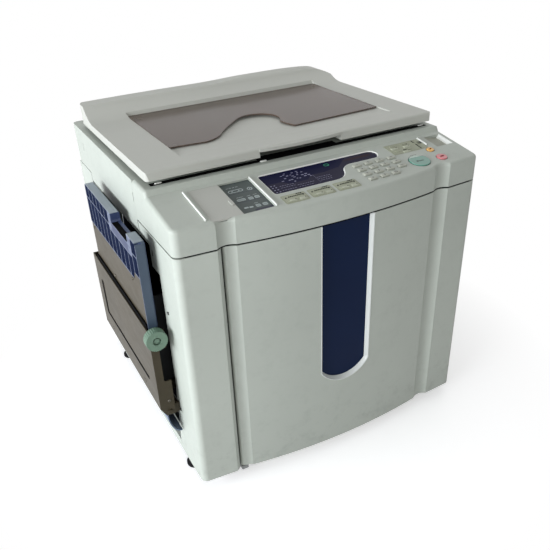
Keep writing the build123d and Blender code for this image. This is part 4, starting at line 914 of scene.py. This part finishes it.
class DUPLICATOR_OT_tray_skirt(bpy.types.Operator):
    """Make a curved sheet under the tray's hinge: its section is a quarter of an ellipse."""

    bl_idname = "duplicator.tray_skirt"
    bl_label = "Tray skirt"

    def execute(self, context):
        material = moulding("Skirt moulding", linear(98, 112, 134), 0.45)
        outer_x, top_z, depth, drop = -0.344, 0.15, 0.025, 0.05
        turn = np.linspace(0, HALF_TURN / 2, 13)
        outer = np.column_stack([outer_x + depth * (1 - np.cos(turn)), top_z - drop * np.sin(turn)])
        inner = outer + np.array([0.002, 0.0012])
        section = np.concatenate([outer, inner[::-1]])
        rows = []
        for y in np.linspace(-0.23, 0.138, 9):
            rows.append(np.column_stack([section[:, 0], np.full(len(section), y), section[:, 1]]))
        shape = np.concatenate(rows), ring_faces(9, len(section))
        piece("tray_skirt", shape, material, "tray_elevator")
        return {"FINISHED"}


class DUPLICATOR_OT_panel(bpy.types.Operator):
    """Finish the display, the films and the three round keys."""

    bl_idname = "duplicator.panel"
    bl_label = "Display, films and round keys"

    def execute(self, context):
        panel = context.scene.duplicator_panel
        top, low, brown = linear(4, 8, 48), linear(40, 38, 58), linear(60, 42, 38)
        paint(("display_window",), display_film("Display film", top, low, brown, panel))
        dark, navy, pale = linear(68, 77, 76), linear(32, 34, 54), linear(166, 170, 148)
        paint(("panel_films",), printed_films("Printed films", dark, navy, pale, panel))
        paint(("start_key",), glossy("Start cap", linear(82, 142, 124)))
        paint(("stop_key",), glossy("Stop cap", linear(206, 112, 116)))
        paint(("reset_key",), glossy("Reset cap", linear(226, 166, 58)))
        return {"FINISHED"}


class DUPLICATOR_OT_keypad(bpy.types.Operator):
    """Make a pillow cap on each of the fifteen small keys, and plain numbers on ten."""

    bl_idname = "duplicator.keypad"
    bl_label = "Keypad"

    def execute(self, context):
        panel = context.scene.duplicator_panel
        caps = moulding("Key caps", linear(172, 175, 163), 0.4, 0.00002, mottle=0.02)
        dark = ink("Number ink", linear(40, 44, 44))
        keys = [(f"key_{n + 1}", str(n + 1), n % 3, n // 3) for n in range(9)]
        keys += [("key_star", None, 0, 3), ("key_0", "0", 1, 3), ("key_clear", None, 2, 3)]
        keys += [("key_side_upper", None, 3, 0), ("key_side_middle", None, 3, 1)]
        keys.append(("key_side_lower", None, 3, 2))
        paint([name for name, *place in keys], caps)
        columns, rows = (74.0, 99.3, 124.6, 151.0), (60.4, 43.2, 26.0, 8.8)
        profile = ((0.0002, 0.0018), (0.0002, 0.0021), (0.0012, 0.0029), (0.0021, 0.0032), (0.003, 0.0033))
        low, high = 0.0033, 0.00342
        for name, text, column, row in keys:
            u, v = columns[column], rows[row]
            centre = np.array([u, v]) * MM
            cap = pad(centre, (0.0168, 0.0093), 0.0022, profile)
            lay(f"{name}_cap", cap, panel, caps, name, smooth=True)
            if text:
                points, faces = sign(text, 0.0064)
                mark = points + np.array([*centre, 0.00338]), faces
            elif name == "key_clear":
                mark = band(centre, (0.0066, 0.0042), 0.002, 0.0007, low, high)
            elif name == "key_star":
                mark = marks([(u, v, 3.4, 0.9, 0.3), (u, v, 0.9, 3.2, 0.3)], low, high)
            else:
                mark = marks([(u, v, 5.5, 0.9, 0.3)], low, high)
            lay(f"{name}_mark", mark, panel, dark, name)
        return {"FINISHED"}


class DUPLICATOR_OT_panel_highlights(bpy.types.Operator):
    """Make the display pocket's rim, the strips along the ridges and the clip tray's right wall in white
    as painted highlight, and the clip tray's floor in a darker olive as painted shade."""

    bl_idname = "duplicator.panel_strips"
    bl_label = "Highlight and shade strips"

    def execute(self, context):
        panel = context.scene.duplicator_panel
        # Painted highlight: white on the display pocket's rim and on the ridges' left sides
        white = moulding("Highlight white", linear(236, 238, 233), 0.4, 0.00002)
        rows = ((-0.5, 0.12), (0.1, 0.12), (1.5, -1.52), (-0.5, -1.7))
        lay("display_rim_highlight", rim(lens_line(), rows), panel, white, smooth=True)
        shapes = []
        for u, low, high, foot in ((-250.5, 7, 106, 0), (-124.5, 1, 106, -3.55), (250.0, 76, 107, 0)):
            section = [(u - 2.1, foot), (u - 1.55, 2.5), (u - 0.6, 2.62)]
            section += [(u - 0.5, 2.4), (u - 1.2, 0), (u - 1.4, foot)]
            shapes.append(up_slope(section, low, high))
        # Painted highlight on the clip tray's right wall
        clip_wall_highlight = ((297.2, -6.9), (301.9, 0.12), (303.2, 0.14), (303.0, -0.4), (302.1, -7.8))
        shapes.append(up_slope(clip_wall_highlight, 62.8, 105.2))
        lay("ridge_highlight_strips", joined(shapes), panel, white)
        # Painted shade: a darker olive sheet over the clip tray's sloping floor
        clip_ramp = ((264.4, 0.06), (297.3, -6.85), (297.3, -7.1), (264.4, -0.2))
        clip_shade = moulding("Clip tray shade", linear(150, 152, 138), 0.5)
        lay("clip_floor_shade", up_slope(clip_ramp, 62.4, 105.6), panel, clip_shade)
        return {"FINISHED"}


class DUPLICATOR_OT_key_rings(bpy.types.Operator):
    """Make the fine dark rings round the start, reset and stop keys."""

    bl_idname = "duplicator.key_rings"
    bl_label = "Key rings"

    def execute(self, context):
        panel = context.scene.duplicator_panel
        # Dark rings just outside each round key's edge
        dark = ink("Key ring dark", linear(70, 84, 80))
        rings = [(194, 28.8, 43.4, 43.4, 21.6), (242, 56.8, 17.2, 17.2, 8.5), (243, 23.4, 23.2, 23.2, 11.5)]
        shape = outlines(rings, 0.7, -0.0003, 0.0001)
        lay("key_rings", shape, panel, dark, smooth=True)
        return {"FINISHED"}


class DUPLICATOR_OT_film_marks(bpy.types.Operator):
    """Make the marks on the dark film: three rows of pressed keys with pale outlines."""

    bl_idname = "duplicator.film_marks"
    bl_label = "Film marks"

    def execute(self, context):
        panel = context.scene.duplicator_panel
        top = -0.0036
        pale = ink("Pale ink", linear(176, 186, 186))
        labels = [(u, 91.5, 4.6, 0.9, 0.3) for u in (-175, -169, -163, -157)]
        labels += [(-171, 79, 3.0, 2.2, 0.8), (-158, 79, 3.0, 2.2, 0.8), (-138.4, 76.7, 2.4, 2.4, 1.0)]
        labels += [(-172, 21.5, 8, 4, 1.2), (-163, 20.5, 7, 4, 1.2), (-167.5, 56.5, 12, 0.9, 0.3)]
        labels += [(-151, 55.5, 7, 0.9, 0.3), (-139, 56, 7, 0.9, 0.3), (-150, 29.5, 7, 0.9, 0.3)]
        lay("film_labels", marks(labels, top, top + 0.0001), panel, pale)
        keys = [(-164.5, 79, 28, 8.5, 4), (-138.4, 76.7, 9.5, 9.5, 4.5), (-168.5, 48, 16, 7, 3)]
        keys += [(-151, 46.7, 8.5, 8, 1.5), (-139, 47.2, 8.5, 8, 1.5), (-150, 20.7, 8.5, 8, 1.5)]
        keys += [(-137, 20.5, 8.5, 8, 1.5)]
        lay("film_rings", outlines(keys, 1.3, top, top + 0.00011), panel, pale)
        grey = ink("Film key ink", linear(142, 152, 152))
        solid = [(u, v, w - 3, h - 3, max(r - 1.5, 0.5)) for u, v, w, h, r in keys[2:]]
        lay("film_keys", marks(solid, top, top + 0.0001), panel, grey)
        return {"FINISHED"}


class DUPLICATOR_OT_display_marks(bpy.types.Operator):
    """Make the display's dots, fine rows, broken line and round icon."""

    bl_idname = "duplicator.display_marks"
    bl_label = "Display marks"

    def execute(self, context):
        panel = context.scene.duplicator_panel
        top = -0.0016
        violet = ink("Violet ink", linear(138, 138, 166), 0.35)
        dots = [(-60.8, 94), (-59.1, 84.9), (-48.8, 76.4), (-40.1, 81.7), (-28.2, 87.5), (-28.4, 72.5)]
        dots += [(-40.9, 69), (-62, 69.7), (-75.1, 71.1), (-19.5, 68.4), (-45.7, 91.8), (-31.9, 77.9)]
        dots += [(-52, 86), (-67, 78), (-36, 93), (-55, 62.5), (-70, 88), (-24, 79)]
        dots += [(-46, 70.5), (-57, 70), (-50, 81), (-37, 87.5), (-64, 90), (-20.5, 73.5)]
        rows = [(u, v, 3.4 + 0.9 * (n % 3), 1.9 + 0.6 * (n % 2), 0.8) for n, (u, v) in enumerate(dots)]
        rows += [(-15.7 + 0.1 * n, 69 - 3 * n, 0.6, 1.6, 0.2) for n in range(10)]
        lines = ((58, -12, 14), (52, -12, 18), (46, -10, 15), (57, -88, -62), (51, -88, -60))
        lines += ((42.4, -90, -64), (49, -56, -24), (42.4, -56, -30))
        for v, low, high in lines:
            rows += [(u, v, 3.4, 0.8, 0.3) for u in np.arange(low, high, 5.0)]
        rows += [(u, v, 3.0, 2.4, 0.8) for v in (63, 56, 48.5, 40.5) for u in (-103.5, -97)]
        lay("display_marks", marks(rows, top, top + 0.00008), panel, violet)
        green = ink("Green ink", linear(44, 142, 104), 0.35)
        icon = [band((0.0272, 0.0913), (0.011, 0.0085), 0.0036, 0.0016, top, top + 0.0001)]
        icon.append(marks([(30, 89, 4.5, 1.6, 0.5)], top, top + 0.00012))
        lay("display_icon", joined(icon), panel, green)
        return {"FINISHED"}


class DUPLICATOR_OT_group_marks(bpy.types.Operator):
    """Make the pale membrane keys: outlines, labels and pressed ends."""

    bl_idname = "duplicator.group_marks"
    bl_label = "Membrane keys"

    def execute(self, context):
        panel = context.scene.duplicator_panel
        top = 0.0004
        dark = dark_ink()
        line = ink("Outline ink", linear(138, 142, 124))
        groups = (-85, -33, 19.4)
        frames = [(u, 10, 45, 25, 3) for u in groups] + [(205.5, 85.5, 78, 37, 3)]
        lay("group_frames", outlines(frames, 0.6, top, top + 0.00006), panel, line)
        labels = [(230, 85.5, 0.7, 35, 0.2)]
        for u in groups:
            labels += [(u + 8 + n * 4, 20.6, 3.0, 1.0, 0.3) for n in range(3)]
            labels += [(u - 10 + n * 3.4, 15.6, 2.2, 1.4, 0.3) for n in range(9)]
            labels += [(u - 16.5, 14.2, 2.6, 2.2, 0.8), (u + 18, 14.6, 2.6, 2.2, 0.8)]
        quick = [(177, 95.6), (206, 95.6), (194, 77)]
        labels += [(u + n * 3.6, v, 2.6, 1.1, 0.3) for u, v in quick for n in range(3)]
        labels += [(240, 90 + n * 2.6, 9, 1.4, 0.3) for n in (-1, 0, 1)]
        lay("group_labels", marks(labels, top, 0.00148), panel, dark)
        keys = [(u + du, v, 15, 6.5, 1.6) for u in groups for du, v in ((-7, 3.6), (12, 3.2))]
        keys += [(179, 87.2, 16, 7, 1.8), (208, 86.8, 16, 7, 1.8), (196, 69.6, 16, 5.5, 1.8)]
        film = ink("Film key", linear(186, 190, 172))
        profile = ((0, top), (0.0002, 0.0012), (0.0016, 0.0021), (0.0022, 0.0022))
        shapes = [pad((u * MM, v * MM), (w * MM, h * MM), r * MM, profile) for u, v, w, h, r in keys]
        lay("group_keys", joined(shapes), panel, film, smooth=True)
        dots = [(u + 4.6, v + 0.6, 2.2, 2.2, 1.0) for u, v, w, h, r in keys]
        lay("group_dots", marks(dots, 0.0021, 0.0023), panel, dark)
        return {"FINISHED"}


class DUPLICATOR_OT_round_key_marks(bpy.types.Operator):
    """Make the plain marks on the start, reset and stop keys, and the pale crescent."""

    bl_idname = "duplicator.round_key_marks"
    bl_label = "Round key marks"

    def execute(self, context):
        panel = context.scene.duplicator_panel
        dark = dark_ink()
        start = [(187.6, 26.4, 4.2, 4.2, 0.6)]
        start += [(192.5 + n * 3.4, 25.6, 2.4, 2.6, 0.5) for n in range(3)]
        lay("start_mark", marks(start, 0.0019, 0.00214), panel, dark, "start_key")
        stop = [(240.4 + n * 2.6, 23.4, 1.9, 2.2, 0.4) for n in range(3)]
        red = ink("Red ink", linear(142, 52, 60))
        lay("stop_mark", marks(stop, 0.0018, 0.0033), panel, red, "stop_key")
        reset = [(241 + n * 2.0, 56.8, 1.4, 1.8, 0.3) for n in range(2)]
        brown = ink("Brown ink", linear(120, 78, 32))
        lay("reset_mark", marks(reset, 0.0018, 0.0033), panel, brown, "reset_key")
        edge = arc((209.7, 41.6), (194, 48.9), (178.3, 41.6), 24)
        rings = [np.column_stack([edge, np.full(len(edge), height)]) for height in (0.3, 0.72)]
        crescent = np.concatenate(rings) * MM, ring_faces(2, len(edge))
        pale = glossy("Pale crescent", linear(182, 202, 190), 0.3, 0.2)
        lay("start_crescent", crescent, panel, pale, "start_key")
        label = [(192 + n * 3.6, 52.4, 2.6, 1.0, 0.3) for n in range(4)]
        lay("start_label", marks(label, -0.0002, 0.00008), panel, dark)
        return {"FINISHED"}


class DUPLICATOR_OT_stage(bpy.types.Operator):
    """Make the camera, the floor, the room and the lamps."""

    bl_idname = "duplicator.stage"
    bl_label = "Camera, floor and light"

    def execute(self, context):
        stage = context.scene.duplicator_stage
        self.camera(context, stage)
        self.floor()
        self.world(context, stage)
        self.lamps(context)
        context.scene.view_settings.view_transform = "Standard"
        return {"FINISHED"}

    def camera(self, context, stage):
        """The camera that matches the photo's view."""
        data = bpy.data.cameras.new("Camera")
        data.lens, data.sensor_width = stage.lens, 36.0
        data.shift_x, data.shift_y = stage.shift_x, stage.shift_y
        data.clip_start, data.clip_end = 0.05, 50.0
        made = bpy.data.objects.new("Camera", data)
        context.scene.collection.objects.link(made)
        flat, rise = math.cos(stage.elevation), math.sin(stage.elevation)
        back = Vector((math.sin(stage.azimuth) * flat, -math.cos(stage.azimuth) * flat, rise))
        turn = (-back).to_track_quat("-Z", "Y").to_matrix().to_4x4()
        made.matrix_world = Matrix.Translation(stage.place) @ turn @ Matrix.Rotation(stage.roll, 4, "Z")
        context.scene.camera = made

    def floor(self):
        """A pale floor that keeps the shadow and fades to white away from the cabinet."""
        finish = Finish("Floor")
        x, y, z = finish.xyz()
        away = (x * x + y * y).math("SQRT").fade(0.42, 0.72)
        pale = finish.mix(finish.noise(2.0, 2.0), (0.8, 0.8, 0.8, 1), (0.84, 0.84, 0.84, 1))
        diffuse = finish.node("ShaderNodeBsdfDiffuse", None, {"Color": pale})["BSDF"]
        plain = {"Color": (1, 1, 1, 1)}
        glow = finish.node("ShaderNodeEmission", None, {**plain, "Strength": 0.45})["Emission"]
        both = finish.node("ShaderNodeAddShader", None, {0: diffuse, 1: glow})["Shader"]
        white = finish.node("ShaderNodeEmission", None, {**plain, "Strength": 1.0})["Emission"]
        faded = finish.node("ShaderNodeMixShader", None, {0: away, 1: both, 2: white})["Shader"]
        seen = finish.node("ShaderNodeMixShader", None, {0: finish.seen(), 1: diffuse, 2: faded})["Shader"]
        finish.surface(seen)
        reach, below = 9.0, 0.0002
        ways = ((-1, -1), (1, -1), (1, 1), (-1, 1))
        corners = [(way_x * reach, way_y * reach, -below) for way_x, way_y in ways]
        mesh = bpy.data.meshes.new("Floor")
        mesh.from_pydata(corners, [], [[0, 1, 2, 3]])
        made = bpy.data.objects.new("Floor", mesh)
        bpy.context.scene.collection.objects.link(made)
        mesh.materials.append(finish.material)

    def world(self, context, stage):
        """A dim room that lights the cabinet, and white where a ray looks straight at it."""
        world = bpy.data.worlds.new("Room")
        world.use_nodes = True
        room = Nodes(world.node_tree)
        tint = {"Color": (0.97, 0.99, 1.0, 1.0), "Strength": stage.world}
        dim = room.node("ShaderNodeBackground", None, tint)["Background"]
        white = room.node("ShaderNodeBackground", None, {"Color": (1, 1, 1, 1)})["Background"]
        mixed = room.node("ShaderNodeMixShader", None, {0: room.seen(), 1: dim, 2: white})["Shader"]
        room.node("ShaderNodeOutputWorld", None, {"Surface": mixed})
        context.scene.world = world

    def lamps(self, context):
        """Three soft lamps that face the cabinet: left side, front and top."""
        aim = Vector((0.0, -0.05, 0.35))
        for name, place, width, power, tint in (
            ("Side lamp", (-3.1, -0.45, 1.1), (3.0, 0.9), 128.0, (0.92, 0.95, 1.0)),
            ("Front lamp", (-1.2, -3.0, 1.9), (2.4, 2.4), 21.0, (1.0, 0.97, 0.93)),
            ("Top lamp", (1.3, 0.9, 3.4), (2.6, 2.6), 24.0, (1.0, 1.0, 1.0)),
        ):
            data = bpy.data.lights.new(name, "AREA")
            data.shape, data.size, data.size_y = "RECTANGLE", *width
            data.energy, data.color = power, tint
            made = bpy.data.objects.new(name, data)
            context.scene.collection.objects.link(made)
            turn = (aim - Vector(place)).to_track_quat("-Z", "Y").to_matrix().to_4x4()
            made.matrix_world = Matrix.Translation(place) @ turn


STEPS = (
    DUPLICATOR_OT_stage,
    DUPLICATOR_OT_cabinet,
    DUPLICATOR_OT_bumpers,
    DUPLICATOR_OT_shade_strips,
    DUPLICATOR_OT_side_fasteners,
    DUPLICATOR_OT_inside,
    DUPLICATOR_OT_trays,
    DUPLICATOR_OT_tray_screws,
    DUPLICATOR_OT_tray_shade,
    DUPLICATOR_OT_tray_skirt,
    DUPLICATOR_OT_panel,
    DUPLICATOR_OT_keypad,
    DUPLICATOR_OT_panel_highlights,
    DUPLICATOR_OT_key_rings,
    DUPLICATOR_OT_film_marks,
    DUPLICATOR_OT_display_marks,
    DUPLICATOR_OT_group_marks,
    DUPLICATOR_OT_round_key_marks,
)
SETTINGS = (
    ("duplicator_cabinet", CabinetColours),
    ("duplicator_panel", PanelSizes),
    ("duplicator_trays", TrayColours),
    ("duplicator_stage", StageSettings),
)


class DUPLICATOR_PT_steps(bpy.types.Panel):
    """The sidebar panel that lists each step."""

    bl_idname = "DUPLICATOR_PT_steps"
    bl_label = "Duplicator"
    bl_space_type = "VIEW_3D"
    bl_region_type = "UI"
    bl_category = "Duplicator"

    def draw(self, context):
        for step in STEPS:
            self.layout.operator(step.bl_idname)


def register():
    for name, group in SETTINGS:
        bpy.utils.register_class(group)
        setattr(bpy.types.Scene, name, PointerProperty(type=group))
    for made in (*STEPS, DUPLICATOR_PT_steps):
        bpy.utils.register_class(made)


def unregister():
    for made in (DUPLICATOR_PT_steps, *reversed(STEPS)):
        bpy.utils.unregister_class(made)
    for name, group in reversed(SETTINGS):
        delattr(bpy.types.Scene, name)
        bpy.utils.unregister_class(group)


def main():
    """Runs every step in order."""
    register()
    for step in STEPS:
        group, call = step.bl_idname.split(".")
        getattr(getattr(bpy.ops, group), call)()


if __name__ == "__main__":
    main()
